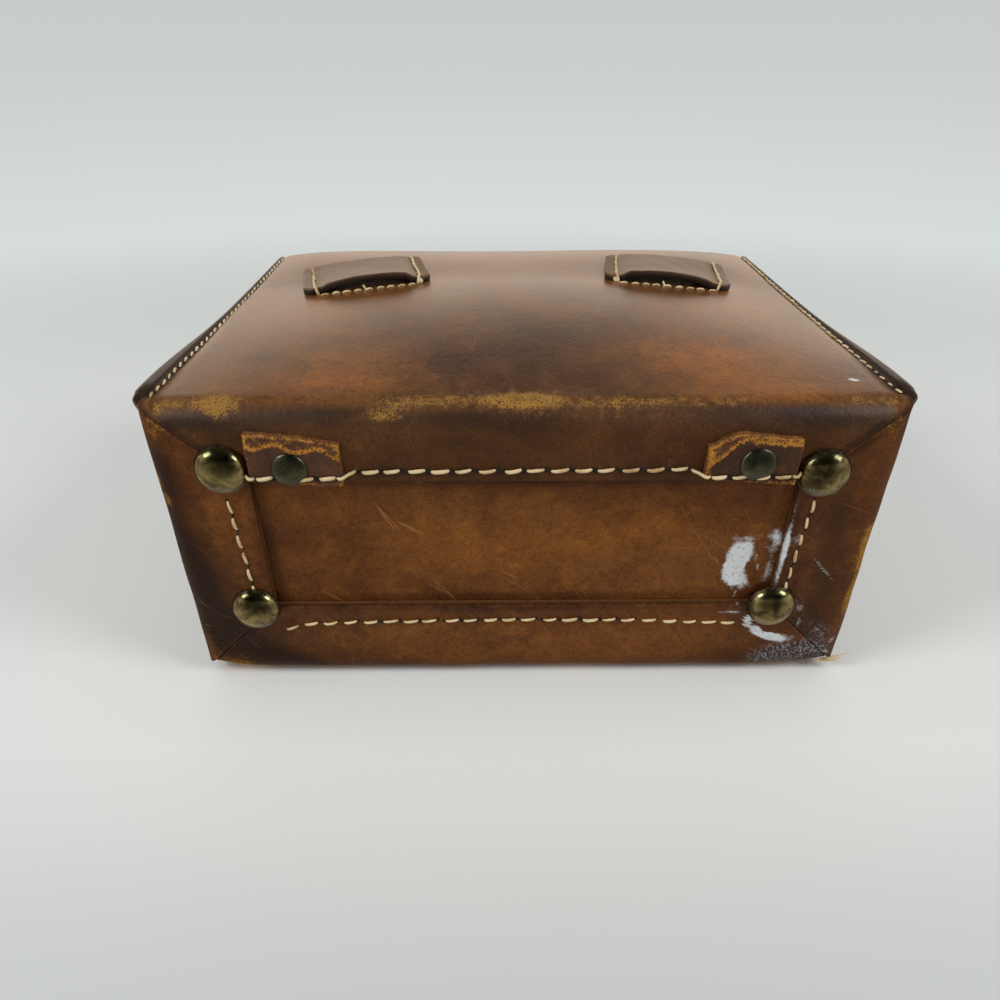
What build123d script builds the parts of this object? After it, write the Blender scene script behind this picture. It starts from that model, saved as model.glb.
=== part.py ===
"""A leather box case for a camera: saddle-leather panels over board, a lid on a leather hinge,
four dome feet, two riveted strap tabs, two strap loops and a brass turn clasp.

The case stands upright on its feet. Z is up, the front faces -Y, the back faces +Y, X is its width.
The origin is under the middle of the whole object, on the surface that it stands on.
"""
import os
from math import radians, sin

from build123d import *

# Overall sizes of the leather box, in millimetres
case_width = 210.0
case_depth = 95.0
case_height = 165.0

# Thickness of each layer
leather = 3.0
board = 1.5
lining = 0.8
brass_sheet = 0.8

# Clearances
seam_gap = 0.3
running_gap = 0.3
lid_side_gap = 0.4
flap_gap = 1.2
rim_gap = 0.7
fastener_gap = 0.1

# How the leather box is folded
sheet_overhang = 0.5
sheet_roll = 9.0
side_roll = 5.0
back_crown = 6.0
seam_flange = 10.0
floor_inset = 2.0

# Width of each base flange: the four of them leave a window in the base
side_flange = 27.0
back_flange = 23.2
front_flange = 26.5

# Dome feet. Each place is a side, an end, and how far in from them the hand-set foot sits
foot_height = 5.0
foot_diameter = 15.0
foot_rim = 0.8
foot_flat = 4.0
foot_shank = 4.0
foot_insets = [(1, 1, 20.4, 18.4), (-1, 1, 21.6, 20.3), (1, -1, 21.2, 26.6), (-1, -1, 26.9, 26.5)]
washer_diameter = 11.0
shank_cover = 0.2

# Strap tabs: the cut-off ends of two straps on the base, and the rivets that hold them
strap_width = 25.5
tab_root_inset = 21.0
right_tab_inset = 28.5
left_tab_inset = 30.0
tab_reach = 14.0
tab_slant = 2.0
tab_clip = 5.0

# Rivets, with their places from the corner where a tab starts
rivet_diameter = 10.0
rivet_rise = 1.6
rivet_bevel = 0.9
rivet_dish = 0.3
rivet_shank = 3.0
right_rivet = (14.0, 3.9)
left_rivet = (11.5, 4.9)

# Strap loops on the back, placed in from its sides and down from its top
loop_width = 47.0
loop_height = 34.0
loop_gap = 6.0
loop_leather = 2.8
loop_end = 8.0
loop_ramp = 4.0
loop_bend = 2.4
loop_side_inset = 19.0
loop_top_drop = 37.0

# Lid
skirt_depth = 30.0
flap_depth = 70.0
flap_rise = 12.0
flap_corner = 14.0
lid_edge_radius = 2.0
hinge_roll = 8.5

# Turn clasp on the front, with its drop below the flap's edge
clasp_drop = 7.0
clasp_plate_width = 34.0
clasp_plate_height = 13.0
clasp_plate = 1.0
strike_width = 30.0
strike_height = 17.0
pin_head_diameter = 3.6
pin_head_rise = 0.7
pin_shank = 1.8
pin_inset = 4.0
button_length = 26.0
button_width = 9.0
button_thickness = 2.4
button_bevel = 0.8
button_grip_rise = 1.8
button_grip_width = 3.0
button_post = 6.0
post_end_rise = 0.8

# Worked-out levels, from the surface that the case stands on
base_outer = foot_height
base_inner = base_outer + leather
base_board_under = base_inner + leather
base_lining_under = base_board_under + board
floor_top = base_lining_under + lining
lid_top_level = base_outer + case_height
lid_board_under = lid_top_level - leather - board
lid_lining_under = lid_board_under - lining
rim_level = lid_lining_under - rim_gap
hinge_level = lid_top_level - hinge_roll
mitre_top = base_outer + sheet_roll
flap_edge_level = lid_top_level - flap_depth
clasp_level = flap_edge_level - clasp_drop
loop_level = lid_top_level - loop_top_drop - loop_height / 2

# Worked-out half sizes of the leather box
half_width = case_width / 2
half_depth = case_depth / 2
sheet_half_width = half_width + sheet_overhang
wall_inner_x = half_width - leather
wall_inner_y = half_depth - leather
lid_half_width = sheet_half_width + lid_side_gap + leather
lid_rear = half_depth - hinge_roll
window_half_width = half_width - side_flange
window_back = half_depth - back_flange
window_front = front_flange - half_depth

# Worked-out places, from the middle of the leather box
foot_places = [
    (side * (half_width - inset_x), end * (half_depth - inset_y))
    for side, end, inset_x, inset_y in foot_insets
]
tab_root = half_depth - tab_root_inset
right_tab_start = half_width - right_tab_inset - strap_width
left_tab_start = left_tab_inset - half_width
rivet_places = [
    (right_tab_start + right_rivet[0], tab_root + right_rivet[1]),
    (left_tab_start + left_rivet[0], tab_root + left_rivet[1]),
]
loop_middle_x = half_width - loop_side_inset - loop_width / 2

# The flap lies in front of the front panel, and the clasp's bar lies in front of the flap
flap_back_face = half_depth + flap_gap
flap_front_face = flap_back_face + leather
strike_face = flap_front_face + brass_sheet
button_back_face = strike_face + running_gap
button_face = button_back_face + button_thickness
front_reach = button_face + button_grip_rise


def crown_at(x, z):
    """How far the back bulges past its flat face at a place on it."""
    middle = (mitre_top + hinge_level) / 2
    half = (hinge_level - mitre_top) / 2
    return back_crown * (1 - (x / sheet_half_width) ** 2) * (1 - ((z - middle) / half) ** 2)


def crown_slopes(x, z):
    """The slope of the bulging back along X and along Z."""
    step = 0.5
    along_x = (crown_at(x + step, z) - crown_at(x - step, z)) / (2 * step)
    along_z = (crown_at(x, z + step) - crown_at(x, z - step)) / (2 * step)
    return along_x, along_z


back_reach = half_depth + crown_at(loop_middle_x, loop_level) + loop_gap + loop_leather
slope_x, slope_z = crown_slopes(loop_middle_x, loop_level)
middle_part = loop_width / 2 - loop_end - loop_ramp
back_reach += abs(slope_x) * middle_part + abs(slope_z) * loop_height / 2

# The box lies a little off the origin, so that the whole object is centred on it
box_y = (front_reach - back_reach) / 2


def beyond_line(start, end, away, reach=400.0):
    """Corners of a large rectangle that lies on one side of the line from start to end."""
    along = (Vector(*end) - Vector(*start)).normalized()
    across = Vector(-along.Y, along.X)
    if across.dot(Vector(*away)) < 0:
        across = -across
    first = Vector(*start) - along * reach
    edge = across * (-seam_gap / 2)
    corners = [
        first + edge,
        first + along * 2 * reach + edge,
        first + along * 2 * reach + across * reach,
        first + across * reach,
    ]
    return [(corner.X, corner.Y) for corner in corners]


def mitre_line(right, back):
    """The line of one mitred corner of the base, from the window's corner outwards."""
    side = 1 if right else -1
    if back:
        return (side * window_half_width, box_y + window_back), (side * half_width, box_y + half_depth)
    return (side * window_half_width, box_y + window_front), (side * half_width, box_y - half_depth)


def sheet_section(back):
    """A folded sheet from its base flange round the rolled edge to the top of its straight wall."""
    side = 1 if back else -1
    outer = box_y + side * half_depth
    inner = box_y + side * wall_inner_y
    roll_middle = outer - side * sheet_roll
    lip = box_y + (window_back if back else window_front)
    inner_roll = sheet_roll - leather
    bend = sin(radians(45))
    outer_bend = (roll_middle + side * sheet_roll * bend, mitre_top - sheet_roll * bend)
    inner_bend = (roll_middle + side * inner_roll * bend, mitre_top - inner_roll * bend)
    top = mitre_top if back else rim_level
    points = [(lip, base_outer), (roll_middle, base_outer)]
    Line(*points)
    ThreePointArc((roll_middle, base_outer), outer_bend, (outer, mitre_top))
    if back:
        Line((outer, mitre_top), (inner, mitre_top))
    else:
        Polyline((outer, mitre_top), (outer, top), (inner, top), (inner, mitre_top))
    ThreePointArc((inner, mitre_top), inner_bend, (roll_middle, base_inner))
    Polyline((roll_middle, base_inner), (lip, base_inner), (lip, base_outer))


def crowned_section(x, outer, thickness, bottom, top):
    """A slice of a bulging sheet at one place along X, as a closed outline of two arcs and two lines."""
    middle = (bottom + top) / 2
    bulge = max(crown_at(x, middle), 0.05)
    ThreePointArc((outer, bottom), (outer + bulge, middle), (outer, top))
    Line((outer, top), (outer - thickness, top))
    ThreePointArc(
        (outer - thickness, top), (outer - thickness + bulge, middle), (outer - thickness, bottom)
    )
    Line((outer - thickness, bottom), (outer, bottom))


def crowned_sheet(outer, thickness, half_size, bottom, top):
    """A bulging sheet lofted through three slices, inside the part that is being built."""
    slices = []
    for share in (-1, 0, 1):
        with BuildSketch(Plane.YZ.offset(share * half_size)) as one_slice:
            with BuildLine():
                crowned_section(share * half_size, outer, thickness, bottom, top)
            make_face()
        slices.append(one_slice.sketch)
    loft(slices)


def cut_mitres(back):
    """Cut the sheet's rolled edge and flange back to the mitre lines."""
    for right in (True, False):
        start, end = mitre_line(right, back)
        side = 1 if right else -1
        with BuildSketch(Plane.XY) as waste:
            with BuildLine():
                Polyline(*beyond_line(start, end, (side, 0)), close=True)
            make_face()
        extrude(waste.sketch, amount=mitre_top, mode=Mode.SUBTRACT)


def drill(places, diameter, top, bottom=0.0):
    """Drill upright holes through the part that is being built."""
    middle = (top + bottom) / 2
    with Locations(*[(x, box_y + y, middle) for x, y in places]):
        Cylinder(diameter / 2, top - bottom, mode=Mode.SUBTRACT)


def drill_base():
    """Drill the base for the shanks of the feet and of the tab rivets."""
    drill(foot_places, foot_shank + 2 * fastener_gap, floor_top)
    drill(rivet_places, rivet_shank + 2 * fastener_gap, floor_top)


def drill_front(places, diameter):
    """Drill holes through the front, along Y."""
    with Locations(*[Location((x, box_y - half_depth, z), (90, 0, 0)) for x, z in places]):
        Cylinder(diameter / 2, 6 * leather, mode=Mode.SUBTRACT)


def finish(piece, label):
    """Name a finished piece and write it to its own file."""
    piece.label = label
    export_step(piece, f"parts/{label}.step")


os.makedirs("parts", exist_ok=True)

pin_places = [
    (side * (clasp_plate_width / 2 - pin_inset), clasp_level) for side in (-1, 1)
]
strike_pin_level = flap_edge_level + strike_height - pin_inset
strike_pin_places = [
    (side * (strike_width / 2 - pin_inset), strike_pin_level) for side in (-1, 1)
]

# Back panel: one sheet that folds under the base and bulges over the back
with BuildPart() as back_panel:
    with BuildSketch(Plane.YZ):
        with BuildLine():
            sheet_section(back=True)
        make_face()
    extrude(amount=sheet_half_width, both=True)
    crowned_sheet(box_y + half_depth, leather, sheet_half_width, mitre_top, hinge_level)
    cut_mitres(back=True)
    drill_base()
finish(back_panel.part, "back_panel")

# Front panel: the same fold with a flat wall, drilled for the clasp
with BuildPart() as front_panel:
    with BuildSketch(Plane.YZ):
        with BuildLine():
            sheet_section(back=False)
        make_face()
    extrude(amount=sheet_half_width, both=True)
    cut_mitres(back=False)
    drill_base()
    drill_front([(0, clasp_level)], button_post + 2 * running_gap)
    drill_front(pin_places, pin_shank + 2 * fastener_gap)
finish(front_panel.part, "front_panel")


def side_panel(right):
    """A side panel with its base flange, and seam flanges under the front and back sheets."""
    side = 1 if right else -1
    name = "right_side_panel" if right else "left_side_panel"
    roll_middle = side * (half_width - side_roll)
    outer = side * half_width
    inner = side * wall_inner_x
    roll_top = base_outer + side_roll
    inner_roll = side_roll - leather
    bend = sin(radians(45))
    seam_face = wall_inner_y - seam_gap / 2
    with BuildPart() as panel:
        with BuildSketch(Plane.XZ.offset(-box_y - half_depth)):
            with BuildLine():
                Line((side * window_half_width, base_outer), (roll_middle, base_outer))
                ThreePointArc(
                    (roll_middle, base_outer),
                    (roll_middle + side * side_roll * bend, roll_top - side_roll * bend),
                    (outer, roll_top),
                )
                Polyline((outer, roll_top), (outer, rim_level), (inner, rim_level), (inner, roll_top))
                ThreePointArc(
                    (inner, roll_top),
                    (roll_middle + side * inner_roll * bend, roll_top - inner_roll * bend),
                    (roll_middle, base_inner),
                )
                Polyline(
                    (roll_middle, base_inner),
                    (side * window_half_width, base_inner),
                    (side * window_half_width, base_outer),
                )
            make_face()
        extrude(amount=case_depth)
        # Only the rolled edge reaches the mitre lines: above it the wall ends at the sheets
        for end in (-1, 1):
            with BuildSketch(Plane.XY.offset(mitre_top)):
                with Locations((outer, box_y + end * (seam_face + case_depth / 2))):
                    Rectangle(case_width, case_depth)
            extrude(amount=case_height, mode=Mode.SUBTRACT)
        for back in (True, False):
            start, end_point = mitre_line(right, back)
            with BuildSketch(Plane.XY):
                with BuildLine():
                    away = (0, 1 if back else -1)
                    Polyline(*beyond_line(start, end_point, away), close=True)
                make_face()
            extrude(amount=mitre_top, mode=Mode.SUBTRACT)
        # Seam flanges
        flange_middle_x = side * (wall_inner_x - seam_flange / 2)
        for end in (-1, 1):
            with BuildSketch(Plane.XY.offset(mitre_top)):
                with Locations((flange_middle_x, box_y + end * (seam_face - leather / 2))):
                    Rectangle(seam_flange, leather)
            extrude(amount=rim_level - mitre_top)
        # Room for the leather hinge at the rear top corner
        with BuildSketch(Plane.XY.offset(hinge_level - running_gap)):
            with Locations((outer, box_y + lid_rear - running_gap + case_depth / 2)):
                Rectangle(case_width, case_depth)
        extrude(amount=case_height, mode=Mode.SUBTRACT)
        drill_base()
    finish(panel.part, name)
    return panel.part


right_side = side_panel(right=True)
left_side = side_panel(right=False)


# The base: an inner leather panel that shows in the window of the flanges, a board and a lining
with BuildPart() as base_panel:
    with BuildSketch(Plane.XY.offset(base_inner)):
        with Locations((0, box_y)):
            Rectangle(2 * (half_width - side_roll - seam_gap), 2 * (half_depth - sheet_roll - seam_gap))
    extrude(amount=leather)
    drill_base()
finish(base_panel.part, "base_panel")

# The board has wide holes, in which the washers lie on the leather, under the lining
floor_half_x = wall_inner_x - seam_gap
floor_half_y = wall_inner_y - floor_inset
with BuildPart() as base_board:
    with BuildSketch(Plane.XY.offset(base_board_under)):
        with Locations((0, box_y)):
            Rectangle(2 * floor_half_x, 2 * floor_half_y)
    extrude(amount=board)
    drill(foot_places, washer_diameter + 2 * seam_gap, floor_top)
    drill(rivet_places, rivet_diameter + 2 * seam_gap, floor_top)
finish(base_board.part, "base_board")

with BuildPart() as base_lining:
    with BuildSketch(Plane.XY.offset(base_lining_under)):
        with Locations((0, box_y)):
            Rectangle(2 * floor_half_x, 2 * floor_half_y)
    extrude(amount=lining)
finish(base_lining.part, "base_lining")

# Stiffening boards and linings behind the front and back panels, between the seam flanges
layer_half_width = wall_inner_x - seam_flange - seam_gap
layer_top = hinge_level - seam_gap


def back_layer(name, outer, thickness):
    """A flat layer behind the back panel, whose leather has bulged away from it in the middle."""
    with BuildPart() as layer:
        with BuildSketch(Plane.XY.offset(mitre_top)):
            with Locations((0, box_y + outer - thickness / 2)):
                Rectangle(2 * layer_half_width, thickness)
        extrude(amount=layer_top - mitre_top)
    finish(layer.part, name)


back_layer("back_board", wall_inner_y, board)
back_layer("back_lining", wall_inner_y - board, lining)


def front_layer(name, outer, thickness):
    """A flat layer behind the front panel, drilled for the clasp's post."""
    with BuildPart() as layer:
        with BuildSketch(Plane.XY.offset(mitre_top)):
            with Locations((0, box_y - outer + thickness / 2)):
                Rectangle(2 * layer_half_width, thickness)
        extrude(amount=rim_level - mitre_top)
        drill_front([(0, clasp_level)], button_post + 2 * running_gap)
    finish(layer.part, name)


front_layer("front_board", wall_inner_y, board)
front_layer("front_lining", wall_inner_y - board, lining)


def side_layer(name, side, outer, thickness):
    """A flat layer inside a side panel, between its seam flanges."""
    half_y = wall_inner_y - seam_gap / 2 - leather - seam_gap
    with BuildPart() as layer:
        with BuildSketch(Plane.YZ.offset(side * outer)):
            with BuildLine():
                Polyline(
                    (box_y - half_y, mitre_top),
                    (box_y + half_y, mitre_top),
                    (box_y + half_y, layer_top),
                    (box_y + lid_rear - running_gap, layer_top),
                    (box_y + lid_rear - running_gap, rim_level),
                    (box_y - half_y, rim_level),
                    close=True,
                )
            make_face()
        extrude(amount=-side * thickness)
    finish(layer.part, name)


for side, word in ((1, "right"), (-1, "left")):
    side_layer(f"{word}_board", side, wall_inner_x, board)
    side_layer(f"{word}_lining", side, wall_inner_x - board, lining)


def shank_profile(x, under, radius, shank):
    """The rest of a fitting's half section: in from its rim, and up its shank through the washer."""
    tip = base_lining_under - shank_cover
    Polyline((x + radius, under), (x + shank, under), (x + shank, tip), (x, tip))


# Dome feet: brass domes with a worn flat, riveted through the base
with BuildPart() as base_feet:
    for x, y in foot_places:
        radius = foot_diameter / 2
        flat = foot_flat / 2
        shoulder = base_outer - foot_rim
        with BuildSketch(Plane.XZ.offset(-(box_y + y))):
            with BuildLine():
                Line((x, 0), (x + flat, 0))
                ThreePointArc(
                    (x + flat, 0),
                    (x + flat + (radius - flat) * 0.72, shoulder * 0.36),
                    (x + radius, shoulder),
                )
                Line((x + radius, shoulder), (x + radius, base_outer))
                shank_profile(x, base_outer, radius, foot_shank / 2)
                Line((x, base_lining_under - shank_cover), (x, 0))
            make_face()
        revolve(axis=Axis((x, box_y + y, 0), (0, 0, 1)))
finish(base_feet.part, "base_feet")

with BuildPart() as foot_washers:
    for x, y in foot_places:
        with BuildSketch(Plane.XY.offset(base_board_under)):
            with Locations((x, box_y + y)):
                Circle(washer_diameter / 2)
                Circle(foot_shank / 2 + fastener_gap, mode=Mode.SUBTRACT)
        extrude(amount=brass_sheet)
finish(foot_washers.part, "foot_washers")


def strap_tab(name, start, clipped):
    """A cut-off strap end: a flat leather tab under the base flange, with its raw edge cut askew."""
    end = start + strap_width
    outer_reach = tab_root + tab_reach
    clip = tab_clip if clipped else 0.5
    with BuildPart() as tab:
        with BuildSketch(Plane.XY.offset(base_outer)):
            with BuildLine():
                Polyline(
                    (start, box_y + tab_root - tab_slant),
                    (end, box_y + tab_root),
                    (end, box_y + outer_reach - clip * 0.6),
                    (end - clip, box_y + outer_reach),
                    (start, box_y + outer_reach - tab_slant),
                    close=True,
                )
            make_face()
        extrude(amount=-leather)
        drill(rivet_places, rivet_shank + 2 * fastener_gap, floor_top)
    finish(tab.part, name)


strap_tab("right_strap_tab", right_tab_start, clipped=False)
strap_tab("left_strap_tab", left_tab_start, clipped=True)

# Tab rivets: low caps with a bevelled rim round a dished face
tab_face = base_outer - leather
with BuildPart() as strap_tab_rivets:
    for x, y in rivet_places:
        radius = rivet_diameter / 2
        face = tab_face - rivet_rise
        with BuildSketch(Plane.XZ.offset(-(box_y + y))):
            with BuildLine():
                Polyline(
                    (x, base_lining_under - shank_cover),
                    (x, face + rivet_dish),
                    (x + radius - rivet_bevel, face),
                    (x + radius, face + rivet_bevel),
                    (x + radius, tab_face),
                )
                shank_profile(x, tab_face, radius, rivet_shank / 2)
            make_face()
        revolve(axis=Axis((x, box_y + y, 0), (0, 0, 1)))
finish(strap_tab_rivets.part, "strap_tab_rivets")

with BuildPart() as strap_tab_washers:
    for x, y in rivet_places:
        with BuildSketch(Plane.XY.offset(base_board_under)):
            with Locations((x, box_y + y)):
                Circle(rivet_diameter / 2)
                Circle(rivet_shank / 2 + fastener_gap, mode=Mode.SUBTRACT)
        extrude(amount=brass_sheet)
finish(strap_tab_washers.part, "strap_tab_washers")


def strap_loop(name, side):
    """A leather loop sewn to the back at its two ends, raised in the middle for a strap."""
    place = (side * loop_middle_x, box_y + half_depth + crown_at(loop_middle_x, loop_level), loop_level)
    rise_x, rise_z = crown_slopes(side * loop_middle_x, loop_level)
    normal = Vector(-rise_x, 1, -rise_z).normalized()
    seat = Plane(origin=place, x_dir=(1, rise_x, 0), z_dir=(-normal.X, -normal.Y, -normal.Z))
    half = loop_width / 2
    knee = half - loop_end
    crest = knee - loop_ramp
    # The section is drawn across the loop: its second direction points away from the case
    across = Plane(origin=place, x_dir=seat.x_dir, z_dir=seat.x_dir.cross(normal))
    with BuildPart() as loop:
        with BuildSketch(across) as section:
            with BuildLine():
                Polyline(
                    (-half, -1.5),
                    (-half, loop_leather),
                    (-knee, loop_leather),
                    (-crest, loop_gap + loop_leather),
                    (crest, loop_gap + loop_leather),
                    (knee, loop_leather),
                    (half, loop_leather),
                    (half, -1.5),
                    (knee + loop_leather * 0.4, -1.5),
                    (crest + loop_leather * 0.4, loop_gap),
                    (-crest - loop_leather * 0.4, loop_gap),
                    (-knee - loop_leather * 0.4, -1.5),
                    close=True,
                )
            make_face()
            # The leather bends gently over the knees and crests of its outer face
            knees = section.vertices().filter_by(lambda v: v.Y == loop_leather and abs(v.X) < half)
            crests = section.vertices().filter_by(lambda v: v.Y > loop_gap + loop_leather / 2)
            fillet(knees + crests, loop_bend)
        extrude(amount=loop_height / 2, both=True)
        add(back_panel.part, mode=Mode.SUBTRACT)
    finish(loop.part, name)
    return loop.part


right_loop = strap_loop("right_strap_loop", 1)
left_loop = strap_loop("left_strap_loop", -1)

# Leather hinge: the back sheet turns over the rear edge into the lid
with BuildPart() as hinge_fold:
    with BuildSketch(Plane.YZ.offset(-sheet_half_width)):
        with BuildLine():
            hinge_inner = hinge_roll - leather
            bend = sin(radians(45))
            rear = box_y + lid_rear
            Line((rear, lid_top_level), (rear, lid_top_level - leather))
            ThreePointArc(
                (rear, hinge_level + hinge_inner),
                (rear + hinge_inner * bend, hinge_level + hinge_inner * bend),
                (rear + hinge_inner, hinge_level),
            )
            Line((rear + hinge_inner, hinge_level), (rear + hinge_roll, hinge_level))
            ThreePointArc(
                (rear + hinge_roll, hinge_level),
                (rear + hinge_roll * bend, hinge_level + hinge_roll * bend),
                (rear, lid_top_level),
            )
        make_face()
    extrude(amount=2 * sheet_half_width)
finish(hinge_fold.part, "hinge_fold")

# Lid: top, two side skirts and a long front flap, with board and lining
lid_length = flap_front_face + lid_rear
lid_middle_y = box_y + (lid_rear - flap_front_face) / 2
with BuildPart() as lid_top:
    with BuildSketch(Plane.XY.offset(lid_top_level - leather)):
        with Locations((0, lid_middle_y)):
            Rectangle(2 * lid_half_width, lid_length)
    extrude(amount=leather)
    upper = lid_top.faces().sort_by(Axis.Z)[-1].edges()
    fillet(upper.sort_by(Axis.Y)[:-1], lid_edge_radius)
finish(lid_top.part, "lid_top")

for side, word in ((1, "right"), (-1, "left")):
    with BuildPart() as skirt:
        with BuildSketch(Plane.YZ.offset(side * lid_half_width)):
            with BuildLine():
                skirt_bottom = lid_top_level - skirt_depth
                skirt_top = lid_top_level - leather
                skirt_front = box_y - flap_back_face
                skirt_rear = box_y + lid_rear
                Polyline(
                    (skirt_front, skirt_bottom),
                    (skirt_rear - flap_corner, skirt_bottom),
                    (skirt_rear, skirt_bottom + flap_corner),
                    (skirt_rear, skirt_top),
                    (skirt_front, skirt_top),
                    close=True,
                )
            make_face()
        extrude(amount=-side * leather)
    finish(skirt.part, f"lid_{word}_skirt")


def flap_outline(top, inset):
    """The flap's outline: straight sides, rounded corners and a lower edge that dips in the middle."""
    half = lid_half_width - inset
    edge = flap_edge_level + inset
    side_level = edge + flap_rise
    Polyline((-half, side_level + flap_corner), (-half, top), (half, top), (half, side_level + flap_corner))
    bend = flap_corner * (1 - sin(radians(45)))
    ThreePointArc(
        (half, side_level + flap_corner),
        (half - bend, side_level + bend),
        (half - flap_corner, side_level),
    )
    ThreePointArc((half - flap_corner, side_level), (0, edge), (-half + flap_corner, side_level))
    ThreePointArc(
        (-half + flap_corner, side_level),
        (-half + bend, side_level + bend),
        (-half, side_level + flap_corner),
    )


with BuildPart() as lid_front_flap:
    with BuildSketch(Plane.XZ.offset(flap_back_face - box_y)):
        with BuildLine():
            flap_outline(lid_top_level - leather, 0)
        make_face()
    extrude(amount=leather)
    drill_front(strike_pin_places, pin_shank + 2 * fastener_gap)
finish(lid_front_flap.part, "lid_front_flap")

with BuildPart() as flap_lining:
    with BuildSketch(Plane.XZ.offset(flap_back_face - lining - box_y)):
        with BuildLine():
            flap_outline(lid_top_level - leather - seam_gap, leather)
        make_face()
    extrude(amount=lining)
finish(flap_lining.part, "flap_lining")


def lid_layer(name, under, thickness):
    """One flat layer under the lid's top, between the skirts."""
    front = flap_back_face - lining - seam_gap
    rear = lid_rear - seam_gap
    with BuildPart() as layer:
        with BuildSketch(Plane.XY.offset(under)):
            with Locations((0, box_y + (rear - front) / 2)):
                Rectangle(2 * (sheet_half_width + lid_side_gap - seam_gap / 2), front + rear)
        extrude(amount=thickness)
    finish(layer.part, name)


lid_layer("lid_board", lid_board_under, board)
lid_layer("lid_lining", lid_lining_under, lining)


def front_plate(width, height, level, corner, hole_places, hole, post_hole=0.0):
    """A thin plate's outline on the front, with its holes."""
    with Locations((0, level)):
        RectangleRounded(width, height, corner)
    with Locations(*hole_places):
        Circle(hole / 2, mode=Mode.SUBTRACT)
    if post_hole:
        with Locations((0, level)):
            Circle(post_hole / 2, mode=Mode.SUBTRACT)


# Turn clasp: a base plate on the front panel, a strike plate on the flap and a turning bar
pin_hole = pin_shank + 2 * fastener_gap
with BuildPart() as clasp_base_plate:
    with BuildSketch(Plane.XZ.offset(half_depth - box_y)):
        front_plate(
            clasp_plate_width,
            clasp_plate_height,
            clasp_level,
            clasp_plate_height * 0.45,
            pin_places,
            pin_hole,
            button_post + 2 * running_gap,
        )
    extrude(amount=clasp_plate)
finish(clasp_base_plate.part, "clasp_base_plate")

with BuildPart() as clasp_strike_plate:
    with BuildSketch(Plane.XZ.offset(flap_front_face - box_y)):
        strike_middle = flap_edge_level + strike_height / 2 + 0.6
        front_plate(strike_width, strike_height, strike_middle, 3, strike_pin_places, pin_hole)
    extrude(amount=brass_sheet)
finish(clasp_strike_plate.part, "clasp_strike_plate")


def pins(name, places, plate_face, inner_face):
    """Small brass rivets from an inner face through the leather to their heads on a plate."""
    with BuildPart() as group:
        for x, z in places:
            with BuildSketch(Plane.XZ.offset(inner_face - box_y)):
                with Locations((x, z)):
                    Circle(pin_shank / 2)
            extrude(amount=plate_face - inner_face)
            with BuildSketch(Plane.XZ.offset(plate_face - box_y)):
                with Locations((x, z)):
                    Circle(pin_head_diameter / 2)
            extrude(amount=pin_head_rise, taper=30)
    finish(group.part, name)


# Both pairs of rivets end flush in the leather, under the board and the lining
pins("clasp_plate_pins", pin_places, half_depth + clasp_plate, wall_inner_y)
pins("strike_plate_pins", strike_pin_places, strike_face, flap_back_face)

inner_front = wall_inner_y - board - lining
with BuildPart() as clasp_washer:
    with BuildSketch(Plane.XZ.offset(inner_front - brass_sheet - box_y)):
        with Locations((0, clasp_level)):
            Circle(washer_diameter / 2)
            Circle(button_post / 2 + running_gap, mode=Mode.SUBTRACT)
    extrude(amount=brass_sheet)
finish(clasp_washer.part, "clasp_washer")

with BuildPart() as turn_button:
    with BuildSketch(Plane.XZ.offset(button_back_face - box_y)):
        with Locations((0, clasp_level)):
            SlotOverall(button_length, button_width)
    extrude(amount=button_thickness)
    chamfer(turn_button.faces().sort_by(Axis.Y)[0].edges(), button_bevel)
    with BuildSketch(Plane.XZ.offset(button_face - box_y)):
        with Locations((0, clasp_level)):
            SlotOverall(button_length * 0.6, button_grip_width)
    extrude(amount=button_grip_rise, taper=8)
    with BuildSketch(Plane.XZ.offset(half_depth + clasp_plate + running_gap - box_y)):
        with Locations((0, clasp_level)):
            Circle(button_post / 2 + 1.2)
    extrude(amount=button_back_face - half_depth - clasp_plate - running_gap)
    post_end = inner_front - brass_sheet - running_gap
    with BuildSketch(Plane.XZ.offset(post_end - box_y)):
        with Locations((0, clasp_level)):
            Circle(button_post / 2)
    extrude(amount=button_face - post_end)
    with BuildSketch(Plane.XZ.offset(post_end - post_end_rise - box_y)):
        with Locations((0, clasp_level)):
            Circle(button_post / 2 + 1)
    extrude(amount=post_end_rise)
finish(turn_button.part, "turn_button")
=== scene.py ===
"""Looks of an old saddle-leather camera case: sewn leather sheets, waxed thread and tarnished brass."""
import logging
from dataclasses import dataclass, field
from enum import Enum
from typing import Optional, Sequence

import bpy
import numpy as np
from mathutils import Matrix, Vector


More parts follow.
